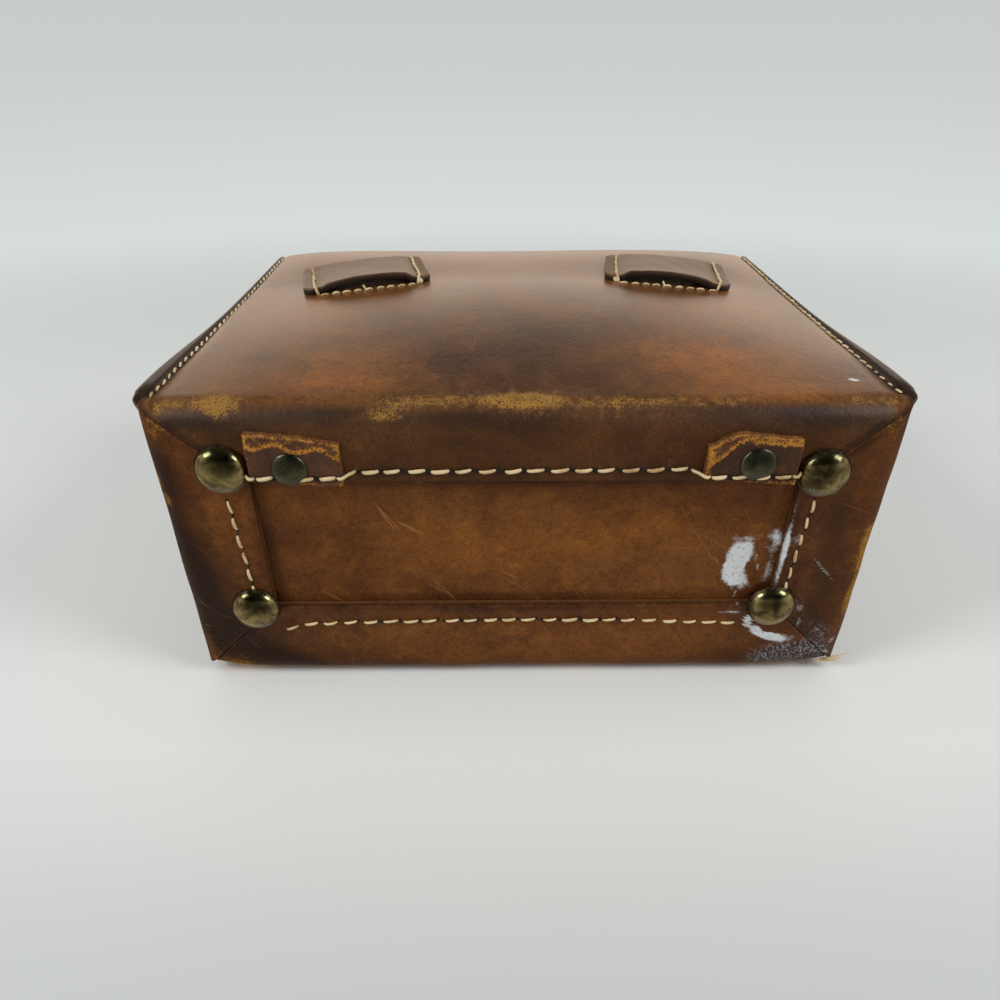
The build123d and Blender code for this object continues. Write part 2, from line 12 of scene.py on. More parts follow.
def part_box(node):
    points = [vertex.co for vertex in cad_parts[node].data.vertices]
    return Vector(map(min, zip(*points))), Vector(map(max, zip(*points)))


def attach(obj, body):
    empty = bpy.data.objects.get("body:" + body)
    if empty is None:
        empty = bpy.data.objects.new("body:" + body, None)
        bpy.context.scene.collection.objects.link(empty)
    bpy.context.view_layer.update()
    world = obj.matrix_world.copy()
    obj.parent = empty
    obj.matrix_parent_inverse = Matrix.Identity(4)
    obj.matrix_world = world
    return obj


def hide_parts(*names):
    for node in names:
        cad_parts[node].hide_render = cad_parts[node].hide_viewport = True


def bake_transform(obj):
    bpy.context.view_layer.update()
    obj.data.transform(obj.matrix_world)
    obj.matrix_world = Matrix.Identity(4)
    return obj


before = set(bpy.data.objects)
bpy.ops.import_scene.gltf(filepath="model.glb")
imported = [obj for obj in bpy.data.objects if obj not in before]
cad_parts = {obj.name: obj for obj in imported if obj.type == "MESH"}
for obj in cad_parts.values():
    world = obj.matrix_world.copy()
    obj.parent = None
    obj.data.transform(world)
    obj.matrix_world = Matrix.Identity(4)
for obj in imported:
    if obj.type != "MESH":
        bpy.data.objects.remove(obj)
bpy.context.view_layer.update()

MM = 0.001
LOG = logging.getLogger("camera_case")
Array = np.ndarray


class Body(Enum):
    """The rigid bodies that pieces ride on."""

    CASE = "case_body"
    LID = "lid"
    BUTTON = "turn_button"


@dataclass
class CaseSizes:
    """Main levels and faces of the case in millimetres.

    The first ones are the leather's own: its thickness, how it rolls over the edges, how far the back bulges
    (back_crown), how far in its seams lie (seam_inset), how its sides roll over at them (rim_round), how wide
    its ears flare at the base (flare) and how full it is at the hinge (full_hinge). The solids give the rest.
    """

    leather: float = 3.0
    base_roll: float = 9.0
    side_roll: float = 5.0
    front_roll: float = 6.0
    hinge_roll: float = 8.5
    back_crown: float = 6.0
    seam_inset: float = 3.4
    rim_round: float = 2.8
    flare: float = 3.0
    full_hinge: float = 3.2
    half_width: float = 0.0
    sheet_half: float = 0.0
    lid_half: float = 0.0
    middle_y: float = 0.0
    half_depth: float = 0.0
    base_under: float = 0.0
    rim: float = 0.0
    lid_top: float = 0.0
    hinge_z: float = 0.0
    flap_front: float = 0.0
    flap_edge: float = 0.0
    window_x: float = 0.0
    window_back: float = 0.0
    window_front: float = 0.0

    def __post_init__(self) -> None:
        """Read the frame's boxes."""
        hinge_low, hinge_high = self.corners("hinge_fold")
        front_low, front_high = self.corners("front_panel")
        back_low, back_high = self.corners("back_panel")
        side_low, side_high = self.corners("right_side_panel")
        flap_low, flap_high = self.corners("lid_front_flap")
        top_low, top_high = self.corners("lid_top")
        self.half_depth = (hinge_high[1] - front_low[1]) / 2
        self.middle_y = (hinge_high[1] + front_low[1]) / 2
        self.sheet_half = front_high[0]
        self.half_width = side_high[0]
        self.lid_half = top_high[0]
        self.base_under = front_low[2]
        self.rim = front_high[2]
        self.lid_top = top_high[2]
        self.hinge_z = hinge_low[2]
        self.flap_front = flap_low[1]
        self.flap_edge = flap_low[2]
        self.window_x = side_low[0]
        self.window_back = back_low[1]
        self.window_front = front_high[1]

    @staticmethod
    def corners(node: str) -> tuple[Array, Array]:
        """Lowest and highest corner of a solid in millimetres."""
        low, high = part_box(node)
        return np.array(low) / MM, np.array(high) / MM

    @property
    def back_y(self) -> float:
        """The back's flat face before it bulges."""
        return self.middle_y + self.half_depth

    @property
    def front_y(self) -> float:
        """The front panel's outer face."""
        return self.middle_y - self.half_depth

    def crown(self, x: Array, z: Array) -> Array:
        """How far the back bulges: a product of two parabolas that end at its edges, fuller at the hinge.

        Args:
            x: places across the back, in mm.
            z: levels.

        Returns:
            Distances from the back's flat face.
        """
        low = self.base_under + self.base_roll
        middle, half = (low + self.hinge_z) / 2, (self.hinge_z - low) / 2
        across = np.clip(1 - (x / self.sheet_half) ** 2, 0, 1)
        along = np.clip(1 - ((z - middle) / half) ** 2, 0, 1)
        inside = np.clip(1 - (np.abs(x) / self.sheet_half) ** 8, 0, 1)
        full = smooth(self.hinge_z - 55, self.hinge_z - 4, z) * inside
        return self.back_crown * across * along + self.full_hinge * full


def smooth(low: float, high: float, value: Array) -> Array:
    """Smooth step from 0 at low to 1 at high, which may be the smaller one."""
    t = np.clip((value - low) / (high - low), 0, 1)
    return t * t * (3 - 2 * t)


def bell(distance: Array, width: float) -> Array:
    """A bell from 1 at distance 0 that falls to 0.37 at the width."""
    return np.exp(-((distance / width) ** 2))


def waves(points: Array, size: float, seed: int) -> Array:
    """Gentle unevenness from -1 to 1: a sum of six sine waves in seeded directions.

    Args:
        points: places in mm.
        size: about how long the waves are, in mm.
        seed: the seed of their directions, lengths and phases.

    Returns:
        A value for each place.
    """
    random = np.random.default_rng(seed)
    total = np.zeros(points.shape[:-1])
    for _ in range(6):
        direction = random.normal(size=3)
        direction /= np.linalg.norm(direction)
        length = size * random.uniform(0.6, 1.6)
        total += np.sin(points @ direction * 2 * np.pi / length + random.uniform(0, 2 * np.pi))
    return total / 3.5


def stations(
    length: float,
    step: float,
    edge: float,
    segments: Sequence[tuple[float, float]] = (),
    fine: float = 0.0,
    extra: Sequence[float] = (),
) -> tuple[Array, Array]:
    """Places along a strip with extra ones near its two cut edges, and each place's distance from them.

    Args:
        length: the strip's length in mm.
        step: the usual spacing.
        edge: the radius that rounds a cut edge.
        segments: ends and spacings of the strip's first stretches, where they differ from the usual one.
        fine: how far from both edges the spacing is 0.6 mm.
        extra: more places.

    Returns:
        The places, and their distances from the nearest cut edge.
    """
    spacing = 0.6
    near = edge * np.array([0, 0.12, 0.4, 1.0])
    close = np.arange(edge + spacing, fine, spacing)
    first, last = max(edge, fine), length - max(edge, fine)
    bounds = [first, *[until for until, _ in segments], last]
    steps = [*[segment_step for _, segment_step in segments], step]
    runs = [
        np.linspace(start, stop, max(int(round((stop - start) / each)), 1) + 1)
        for start, stop, each in zip(bounds[:-1], bounds[1:], steps)
    ]
    places = np.concatenate([near, close, *runs, length - close, length - near, np.asarray(extra, float)])
    places = np.unique(np.round(places, 4))
    places = places[np.concatenate([[True], np.diff(places) > 0.06])]
    places[-1] = length
    return places, np.minimum(places, length - places)


def grid_normals(points: Array) -> Array:
    """Unit normals of a grid of points: the cross product of its two finite differences."""
    along = np.gradient(points, axis=0)
    across = np.gradient(points, axis=1)
    normal = np.cross(along, across)
    return normal / np.maximum(np.linalg.norm(normal, axis=-1, keepdims=True), 1e-9)


def make_mesh(
    name: str, points: Array, faces: list[list[int]], marks: Optional[dict[str, Array]] = None
) -> bpy.types.Object:
    """A smooth mesh object at the origin.

    Args:
        name: the piece's name.
        points: an array of places in mm.
        faces: corner numbers of each face.
        marks: float values for each point, written as attributes.

    Returns:
        The new object, in the scene.
    """
    mesh = bpy.data.meshes.new(name)
    mesh.from_pydata((points * MM).tolist(), [], faces)
    for title, values in (marks or {}).items():
        layer = mesh.attributes.new(title, "FLOAT", "POINT")
        layer.data.foreach_set("value", np.ascontiguousarray(values, dtype=np.float32))
    mesh.shade_smooth()
    mesh.validate()
    piece = bpy.data.objects.new(name, mesh)
    bpy.context.scene.collection.objects.link(piece)
    return piece


def grid_quads(rows: int, columns: int, offset: int = 0) -> Array:
    """Corner numbers of the faces of a grid."""
    index = offset + np.arange(rows * columns).reshape(rows, columns)
    return np.stack([index[:-1, :-1], index[1:, :-1], index[1:, 1:], index[:-1, 1:]], -1).reshape(-1, 4)


def ring_quads(index: Array) -> Array:
    """Corner numbers of the faces of a tube, from the numbers of its points: rings by places round them."""
    after = np.roll(index, -1, axis=1)
    return np.stack([index[:-1], index[1:], after[1:], after[:-1]], -1).reshape(-1, 4)


def border(rows: int, columns: int, offset: int = 0) -> Array:
    """Numbers of a grid's border points, once round."""
    index = offset + np.arange(rows * columns).reshape(rows, columns)
    return np.concatenate([index[0, :-1], index[:-1, -1], index[-1, :0:-1], index[:0:-1, 0]])


def thick_sheet(
    name: str,
    outer: Array,
    thickness: float,
    edge: float,
    row_distance: Array,
    column_distance: Array,
    marks: Optional[dict[str, Array]] = None,
    flip: bool = False,
) -> bpy.types.Object:
    """A closed sheet of leather with softly rounded cut edges.

    The outer grid and a copy of it, moved in by the thickness, are joined all round. Near a cut edge both
    faces dip by edge - sqrt(edge^2 - (edge - d)^2), where d is the distance from the edge.

    Args:
        name: the piece's name.
        outer: grid of points of the outer face, in mm.
        thickness: the leather's thickness.
        edge: the radius of the rounding.
        row_distance: each row's distance from the cut ends.
        column_distance: each column's distance from the cut sides.
        marks: painted values on the outer grid.
        flip: true if the grid's own normals point inwards.

    Returns:
        The sheet's object.
    """
    rows, columns = outer.shape[:2]
    normal = grid_normals(outer) * (-1 if flip else 1)
    distance = np.minimum(row_distance[:, None], column_distance[None, :])
    near = np.clip(edge - distance, 0, edge)
    dip = edge - np.sqrt(np.maximum(edge**2 - near**2, 0))
    top = outer - normal * dip[..., None]
    bottom = outer - normal * (thickness - dip)[..., None]
    points = np.concatenate([top.reshape(-1, 3), bottom.reshape(-1, 3)])
    count = rows * columns
    rim_top, rim_bottom = border(rows, columns), border(rows, columns, count)
    wall = np.stack([rim_top, np.roll(rim_top, -1), np.roll(rim_bottom, -1), rim_bottom], -1)
    quads = np.concatenate([grid_quads(rows, columns), grid_quads(rows, columns, count)[:, ::-1], wall])
    if flip:
        quads = quads[:, ::-1]
    cut = np.clip(1 - distance / max(edge, 1e-6), 0, 1).reshape(-1)
    both = {"cut": np.concatenate([cut * 0.6, cut]), "inside": np.repeat([0.0, 1.0], count)}
    for title, values in (marks or {}).items():
        flat = np.broadcast_to(values, (rows, columns)).reshape(-1)
        both[title] = np.concatenate([flat, flat * 0])
    return make_mesh(name, points, quads.tolist(), both)


@dataclass(frozen=True)
class Spot:
    """A mark on leather: middle, half sizes in mm, strength, turn in degrees, and if its edge is sharp."""

    a: float
    b: float
    half_a: float
    half_b: float
    strength: float = 1.0
    turn: float = 0.0
    sharp: bool = False

    def on(self, a: Array, b: Array) -> Array:
        """Its strength at places: it falls as a bell, or faster if sharp."""
        angle = np.radians(self.turn)
        u = (a - self.a) * np.cos(angle) + (b - self.b) * np.sin(angle)
        v = (b - self.b) * np.cos(angle) - (a - self.a) * np.sin(angle)
        reach = (u / self.half_a) ** 2 + (v / self.half_b) ** 2
        return self.strength * np.exp(-(reach**3 if self.sharp else reach))


def spots(*rows: tuple) -> tuple[Spot, ...]:
    """Spots from rows of their fields."""
    return tuple(Spot(*row) for row in rows)


def painted(a: Array, b: Array, spots: Sequence[Spot]) -> Array:
    """The sum of spots at places, held between 0 and 1."""
    total = np.zeros(np.broadcast(a, b).shape)
    for spot in spots:
        total = total + spot.on(a, b)
    return np.clip(total, 0, 1)


def linear(hex_colour: str) -> tuple[float, float, float, float]:
    """An sRGB hex colour as linear red, green, blue and alpha 1."""
    values = [int(hex_colour[i : i + 2], 16) / 255 for i in (1, 3, 5)]
    parts = [v / 12.92 if v <= 0.04045 else ((v + 0.055) / 1.055) ** 2.4 for v in values]
    return parts[0], parts[1], parts[2], 1.0


def per(size_mm: float) -> float:
    """The scale of a pattern whose lumps are about size_mm across: lumps to a metre."""
    return 1.0 / (size_mm * MM)


Socket = bpy.types.NodeSocket

# Words for the nodes that finishes use most: Blender's name, its settings, the inputs in the order in which
# values are given, and the output that is read
WORDS = {
    "sum": ("Math", {"operation": "ADD"}, (0, 1), 0),
    "less": ("Math", {"operation": "SUBTRACT"}, (0, 1), 0),
    "times": ("Math", {"operation": "MULTIPLY"}, (0, 1), 0),
    "most": ("Math", {"operation": "MAXIMUM"}, (0, 1), 0),
    "least": ("Math", {"operation": "MINIMUM"}, (0, 1), 0),
    "size": ("Math", {"operation": "ABSOLUTE"}, (0,), 0),
    "step": ("MapRange", {"interpolation_type": "SMOOTHSTEP"}, (0, 1, 2, 3, 4), 0),
    "mix": ("Mix", {"data_type": "RGBA"}, (0, 6, 7), 2),
    "tint": ("Mix", {"data_type": "RGBA", "blend_type": "MULTIPLY"}, (0, 6, 7), 2),
    "noise": ("TexNoise", {}, ("Vector", "Scale", "Detail", "Roughness", "Distortion"), 0),
    "cells": ("TexVoronoi", {"feature": "DISTANCE_TO_EDGE"}, ("Vector", "Scale"), "Distance"),
    "mark": ("Attribute", {}, (), "Fac"),
}


class Tree:
    """The node tree of a material or of the world, filled by add()."""

    def __init__(self, owner: bpy.types.ID, output: str = "OutputMaterial") -> None:
        """Empty the owner's tree and give it an output."""
        owner.use_nodes = True
        self.owner = owner
        self.nodes = owner.node_tree.nodes
        self.links = owner.node_tree.links
        self.nodes.clear()
        self.output = self.nodes.new("ShaderNode" + output)

    @classmethod
    def of(cls, name: str) -> "Tree":
        """The tree of a new material."""
        return cls(bpy.data.materials.new(name))

    def add(self, word: str, *values, out: Optional[int | str] = None, **settings) -> Socket:
        """Add one node and link it.

        Args:
            word: one of WORDS, or Blender's name for the node without its ShaderNode start.
            values: values, hex colours or sockets for its inputs, in order, or a dict of them.
            out: the output to give, where it isn't the usual one.
            settings: the node's own properties.

        Returns:
            The node's output.
        """
        kind, usual, order, first = WORDS.get(word, (word, {}, (), 0))
        node = self.nodes.new("ShaderNode" + kind)
        for key, value in {**usual, **settings}.items():
            setattr(node, key, value)
        inputs = values[0] if values and isinstance(values[0], dict) else dict(zip(order, values))
        for key, value in inputs.items():
            if isinstance(value, Socket):
                self.links.new(value, node.inputs[key])
            else:
                node.inputs[key].default_value = linear(value) if isinstance(value, str) else value
        return node.outputs[first if out is None else out]

    def around(self, value: Socket, spread: float) -> Socket:
        """A value from 0 to 1 as a swing about zero, spread times its distance from a half."""
        return self.add("times", self.add("less", value, 0.5), spread)

    def total(self, start: Socket | float, *layers: tuple[Socket, float]) -> Socket:
        """A start value plus each layer times its weight."""
        for layer, weight in layers:
            start = self.add("sum", start, self.add("times", layer, weight))
        return start

    def finish(self, shader: Socket) -> bpy.types.ID:
        """Link the surface and give the material or world."""
        self.links.new(shader, self.output.inputs["Surface"])
        return self.owner


@dataclass(frozen=True)
class Pattern:
    """What the layers of a leather share: its tree, place, four sizes of noise and the painted marks."""

    t: Tree
    place: Socket
    cloud: Socket
    patch: Socket
    fine: Socket
    speck: Socket
    mark: dict[str, Socket]

    @classmethod
    def on(cls, t: Tree) -> "Pattern":
        """Lay out clouds of 34 mm, patches of 9 mm, mottle of 2.1 mm and specks of 0.75 mm."""
        place = t.add("TexCoord", out="Object")
        names = ("worn", "dark", "tan", "cut", "inside", "ash", "chalk", "matt")
        return cls(
            t,
            place,
            t.add("noise", place, per(34), 4, 0.6, 0.5),
            t.add("noise", place, per(9), 5, 0.65, 0.4),
            t.add("noise", place, per(2.1), 5, 0.72),
            t.add("noise", place, per(0.75), 3, 0.65),
            {name: t.add("mark", attribute_name=name) for name in names},
        )


@dataclass(frozen=True)
class Leather:
    """Vegetable-tanned saddle leather, waxed, handled and worn.

    The eye gets a satin skin in mottled browns, dark where hands and wax darkened it and where a piece paints
    shade into the mark dark, orange where it was rubbed, ochre and crumbly where the skin is gone, with thin
    scratches, faint creases and a chalky spill. A piece paints the marks worn, dark, tan, ash, chalk and
    matt;
    cut and inside are its edges and flesh side.
    """

    name: str
    base: str
    deep: str
    glow: str
    ochre: str = "#A07430"
    crumb: str = "#573410"
    black: str = "#1C0F09"
    flesh: str = "#6A4526"
    edge_colour: str = "#4A2C16"
    edge_deep: str = "#1E1009"
    scuff: str = "#9A6A3C"
    soot: str = "#2E2524"
    chalk: str = "#D3D7D8"
    rough: float = 0.34
    gloss: float = 0.22
    wax: float = 0.0
    wax_rough: float = 0.34
    grain: float = 0.42
    mottle: float = 0.45
    ragged: float = 0.7
    scratch: float = 0.5
    creases: float = 0.12
    turns: tuple[float, float] = (-38.0, -70.0)
    across: tuple[float, float, float] = (0.0, 1.0, 0.0)

    def scratches(self, p: Pattern, turn: float, size: float, low: float) -> Socket:
        """Thin scattered lines: the middle level of a noise stretched along one direction, shown in patches.

        Args:
            p: the shared pattern.
            turn: the lines' turn in degrees about the sheet's normal.
            size: the lines' distance in mm.
            low: the level of a patchy noise above which lines show.

        Returns:
            The lines, 0 to 1.
        """
        t = p.t
        angle = tuple(float(np.radians(turn) * k) for k in self.across)
        shift = (0.031 * size, 0.017, 0.023)
        turned = t.add("Mapping", {"Vector": p.place, "Location": shift, "Rotation": angle})
        squeezed = t.add("Mapping", {"Vector": turned, "Scale": (0.03, 1.0, 1.0)})
        level = t.add("size", t.around(t.add("noise", squeezed, per(size), 0, 0.4), 1.0))
        patches = t.add("Mapping", {"Vector": turned, "Scale": (0.25, 1.0, 1.0)})
        patches = t.add("noise", patches, per(4), 1, 0.5)
        return t.add("times", t.add("step", level, 0.012, 0.003), t.add("step", patches, low, low + 0.12))

    def dyed(self, p: Pattern) -> tuple[Socket, Socket]:
        """The dyed skin: mottled browns with tan patches, dark pores and dark stains.

        Args:
            p: the shared pattern.

        Returns:
            The colour, and how dark it is: from stains, and from shade painted into the mark dark.
        """
        t, tan, stain_and_shade = p.t, p.mark["tan"], p.mark["dark"]
        colour = t.add("mix", t.add("step", p.cloud, 0.36, 0.66), self.base, self.deep)
        patches = t.add("times", t.add("step", p.patch, 0.46, 0.74), 0.35)
        colour = t.add("mix", patches, colour, self.glow)
        tan = t.add("sum", tan, t.add("times", tan, t.around(p.patch, 1.3)))
        colour = t.add("mix", t.add("least", tan, 1.0), colour, self.glow)
        # Mottled dye: three sizes of noise swing the colour both ways
        swing = t.add("sum", t.around(p.fine, self.mottle * 2.6), t.around(p.speck, self.mottle * 3.4))
        shade = t.add("sum", 1.0, t.add("sum", swing, t.around(p.patch, self.mottle * 1.6)))
        colour = t.add("tint", 1.0, colour, shade)
        # Wax and grime that filled pores: scattered dark specks
        pores = t.add("times", t.add("step", p.speck, 0.62, 0.72), 0.3)
        colour = t.add("mix", pores, colour, self.black)
        # Dark stains, and shade painted into the mark dark, with broken borders
        broken = t.add("sum", stain_and_shade, t.add("times", stain_and_shade, t.around(p.patch, 1.4)))
        broken = t.add("sum", broken, t.add("times", stain_and_shade, t.around(p.fine, 0.5)))
        dark = t.add("step", broken, 0.04, 1.0)
        return t.add("mix", t.add("times", dark, 0.92), colour, self.black), dark

    def creased(self, p: Pattern) -> tuple[Socket, Socket]:
        """Dark creases: the borders of large bent cells, only here and there.

        Args:
            p: the shared pattern.

        Returns:
            The creases, and the bent place that the cracks follow too.
        """
        t = p.t
        swirl = t.add("noise", p.place, per(3), 2, out="Color")
        wavy = t.add("VectorMath", {0: swirl, 1: (1.6 * MM,) * 3, 2: p.place}, operation="MULTIPLY_ADD")
        lines = t.add("step", t.add("cells", wavy, per(11)), 0.035, 0.0)
        shown = t.add("times", lines, t.add("step", p.cloud, 0.5, 0.62))
        return t.add("times", shown, self.creases), wavy

    def bared(self, p: Pattern, wavy: Socket) -> tuple[Socket, Socket, Socket]:
        """Worn skin: ochre cracks 0.85 mm apart between dark crumbs, closed up to ochre where it is deepest.

        Args:
            p: the shared pattern.
            wavy: the bent place.

        Returns:
            How worn the skin is, its colour there, and the cracks.
        """
        t, mark = p.t, p.mark["worn"]
        cracks = t.add("step", t.add("cells", wavy, per(0.85)), 0.3, 0.02)
        soft = t.add("sum", mark, t.add("sum", t.around(p.patch, self.ragged), t.around(p.fine, 0.7)))
        soft = t.add("times", t.add("step", soft, 0.08, 1.05), t.add("step", mark, 0.02, 0.2))
        depth = t.add("sum", soft, t.add("sum", t.around(p.fine, 1.1), t.around(p.speck, 1.0)))
        depth = t.add("sum", depth, t.around(cracks, 0.6))
        bare = t.add("mix", t.add("step", depth, 0.40, 1.25), self.crumb, self.ochre)
        broken = t.add("step", t.add("sum", soft, t.around(cracks, 0.6)), 0.1, 0.8, 0.45, 1.0)
        return t.add("times", soft, broken), bare, cracks

    def residue(self, p: Pattern) -> tuple[Socket, Socket]:
        """Grey dust ground into the skin, and a white spill with a gritty core and a broken border.

        Args:
            p: the shared pattern.

        Returns:
            The dust and the chalk.
        """
        t, mark = p.t, p.mark["chalk"]
        dust = t.add("step", t.add("sum", p.mark["ash"], t.around(p.patch, 0.6)), 0.2, 0.8)
        chalky = t.add("sum", mark, t.add("sum", t.around(p.fine, 1.0), t.around(p.patch, 0.6)))
        solid = t.add("times", t.add("step", chalky, 0.28, 0.95), t.add("step", mark, 0.03, 0.3))
        gritty = t.add("sum", t.add("sum", p.speck, t.around(p.fine, 1.0)), t.add("times", mark, 0.3))
        solid = t.add("times", solid, t.add("step", gritty, 0.42, 0.80, 0.45, 1.0))
        flecks = t.add("step", t.add("sum", p.speck, t.around(p.fine, 0.5)), 0.42, 0.78)
        return dust, t.add("most", solid, t.add("times", t.add("times", flecks, dust), 0.5))

    def material(self) -> bpy.types.Material:
        """Build the material."""
        t = Tree.of(self.name)
        p = Pattern.on(t)
        mark = p.mark
        colour, dark = self.dyed(p)
        crease, wavy = self.creased(p)
        colour = t.add("mix", crease, colour, self.black)
        # Scratches in two directions, pale where the skin is cut
        first = self.scratches(p, self.turns[0], 4.0, 0.56)
        lines = t.add("most", first, self.scratches(p, self.turns[1], 5.5, 0.60))
        lines = t.add("times", lines, self.scratch)
        colour = t.add("mix", lines, colour, self.scuff)
        worn, bare, cracks = self.bared(p, wavy)
        colour = t.add("mix", t.add("times", worn, 0.9), colour, bare)
        # Cut edges and the flesh side
        fibre = t.add("step", t.add("sum", p.fine, t.around(p.speck, 1.2)), 0.36, 0.7)
        edge = t.add("mix", fibre, self.edge_deep, self.edge_colour)
        colour = t.add("mix", t.add("step", mark["cut"], 0.2, 0.9), colour, edge)
        flesh = t.add("tint", 1.0, self.flesh, t.add("sum", 1.0, t.around(p.fine, 0.6)))
        colour = t.add("mix", mark["inside"], colour, flesh)
        dust, chalk = self.residue(p)
        colour = t.add("mix", t.add("times", dust, 0.85), colour, self.soot)
        colour = t.add("mix", chalk, colour, self.chalk)
        # Roughness: burnished where dark, matt where the skin is gone or chalky
        uneven = t.add("sum", t.around(p.patch, 0.24), t.around(p.fine, 0.2))
        matt = ((worn, 0.26), (chalk, 0.4), (mark["inside"], 0.4), (mark["matt"], 0.25), (dark, -0.05))
        rough = t.total(t.add("sum", self.rough, uneven), *matt)
        # Relief: pores about 1 mm apart, hair-fine grain, creases, scratches, sunk wear and raised residue
        pore = t.add("cells", p.place, per(1.0), feature="SMOOTH_F1")
        cut = t.add("sum", lines, crease)
        sunk = t.add("times", worn, t.add("sum", 0.3, t.add("times", cracks, 0.7)))
        weights = ((p.fine, 0.9), (p.speck, 0.4), (p.patch, 1.3), (cut, -0.6), (sunk, -1.0), (chalk, 1.1))
        height = t.total(t.add("times", pore, 0.45), *weights)
        bump = t.add("Bump", {"Height": height, "Strength": self.grain, "Distance": 0.4 * MM})
        inputs = {
            "Base Color": colour,
            "Roughness": rough,
            "Normal": bump,
            "IOR": 1.45,
            "Specular IOR Level": self.gloss,
            "Coat Roughness": self.wax_rough,
        }
        if self.wax:
            dry = t.add("most", mark["matt"], t.add("most", worn, chalk))
            inputs["Coat Weight"] = t.add("times", t.add("less", 1.0, dry), self.wax)
        return t.finish(t.add("BsdfPrincipled", inputs))


@dataclass(frozen=True)
class Brass:
    """Antique brass: spun caps whose lacquer has gone.

    The eye gets a low-gloss olive metal that mirrors the room softly, duller in patches, with pale pits and a
    grey crust on one side, which a piece paints as a mark named grime_and_shade.
    """

    name: str
    bright: str = "#8B855E"
    dull: str = "#423E2A"
    grime_and_shade: str = "#6E6C62"
    pale: str = "#A9A89C"
    rough: float = 0.2
    patina: float = 0.6
    relief: float = 0.25

    def material(self) -> bpy.types.Material:
        """Build the material."""
        t = Tree.of(self.name)
        place = t.add("TexCoord", out="Object")
        cloud = t.add("noise", place, per(5), 5, 0.65, 0.5)
        fine = t.add("noise", place, per(0.9), 4, 0.7)
        pit = t.add("noise", place, per(0.5), 2, 0.5)
        colour = t.add("mix", t.add("step", cloud, 0.35, 0.65), self.bright, self.dull)
        broken = t.add("sum", t.around(cloud, 0.9), t.around(fine, 0.9))
        crust = t.add("sum", t.add("mark", attribute_name="grime_and_shade"), broken)
        grime_and_shade = t.add("times", t.add("step", crust, 0.35, 0.9), self.patina)
        pits = t.add("times", t.add("step", pit, 0.58, 0.66), t.add("step", crust, 0.1, 0.7))
        colour = t.add("mix", t.add("times", grime_and_shade, 0.8), colour, self.grime_and_shade)
        colour = t.add("mix", t.add("times", pits, 0.85), colour, self.pale)
        rough = t.total(t.add("sum", self.rough, t.around(fine, 0.14)), (grime_and_shade, 0.3))
        metal = t.add("less", 1.0, t.add("times", grime_and_shade, 0.6))
        height = t.add("less", t.add("times", fine, 0.3), pits)
        bump = t.add("Bump", {"Height": height, "Strength": self.relief, "Distance": 0.15 * MM})
        inputs = {"Base Color": colour, "Roughness": rough, "Metallic": metal, "Normal": bump}
        return t.finish(t.add("BsdfPrincipled", inputs))


@dataclass(frozen=True)
class Thread:
    """Waxed linen thread: cream and matt, with fine fibres, and painted shade where a mark named low is
    painted.
    """

    name: str = "waxed_linen_thread"
    clean: str = "#DCC698"
    dirty: str = "#A8854F"
    fibre: str = "#8A6A40"
    grime_and_shade: str = "#5A3C1E"

    def material(self) -> bpy.types.Material:
        """Build the material."""
        t = Tree.of(self.name)
        place = t.add("TexCoord", out="Object")
        cloud = t.add("noise", place, per(7), 3, 0.6)
        fibre = t.add("noise", place, per(0.35), 3, 0.6)
        colour = t.add("mix", t.add("step", cloud, 0.42, 0.75), self.clean, self.dirty)
        hairs = t.add("times", t.add("step", fibre, 0.5, 0.8), 0.45)
        colour = t.add("mix", hairs, colour, self.fibre)
        # Painted shade: a dark brown on the thread's side towards the leather and at its ends, where it dips
        # into the holes
        low = t.add("step", t.add("mark", attribute_name="low"), 0.35, 1.0, 0.0, 0.75)
        colour = t.add("mix", low, colour, self.grime_and_shade)
        bump = t.add("Bump", {"Height": fibre, "Strength": 0.5, "Distance": 0.15 * MM})
        inputs = {"Base Color": colour, "Roughness": 0.62, "Normal": bump, "Sheen Weight": 0.15}
        return t.finish(t.add("BsdfPrincipled", inputs))


@dataclass(frozen=True)
class Plain:
    """A matt material with a cloud of a second colour and a fine relief: pulp board, cloth, or painted shade
    in a hole.
    """

    name: str
    first: str
    second: str
    rough: float = 0.8
    size: float = 1.0
    relief: float = 0.4

    def material(self) -> bpy.types.Material:
        """Build the material."""
        t = Tree.of(self.name)
        place = t.add("TexCoord", out="Object")
        fine = t.add("noise", place, per(self.size), 4, 0.7)
        cloud = t.add("noise", place, per(self.size * 14), 3, 0.6)
        both = t.total(t.add("times", fine, 0.5), (cloud, 0.5))
        colour = t.add("mix", t.add("step", both, 0.35, 0.65), self.first, self.second)
        bump = t.add("Bump", {"Height": fine, "Strength": self.relief, "Distance": 0.3 * MM})
        inputs = {"Base Color": colour, "Roughness": self.rough, "Normal": bump}
        return t.finish(t.add("BsdfPrincipled", inputs))


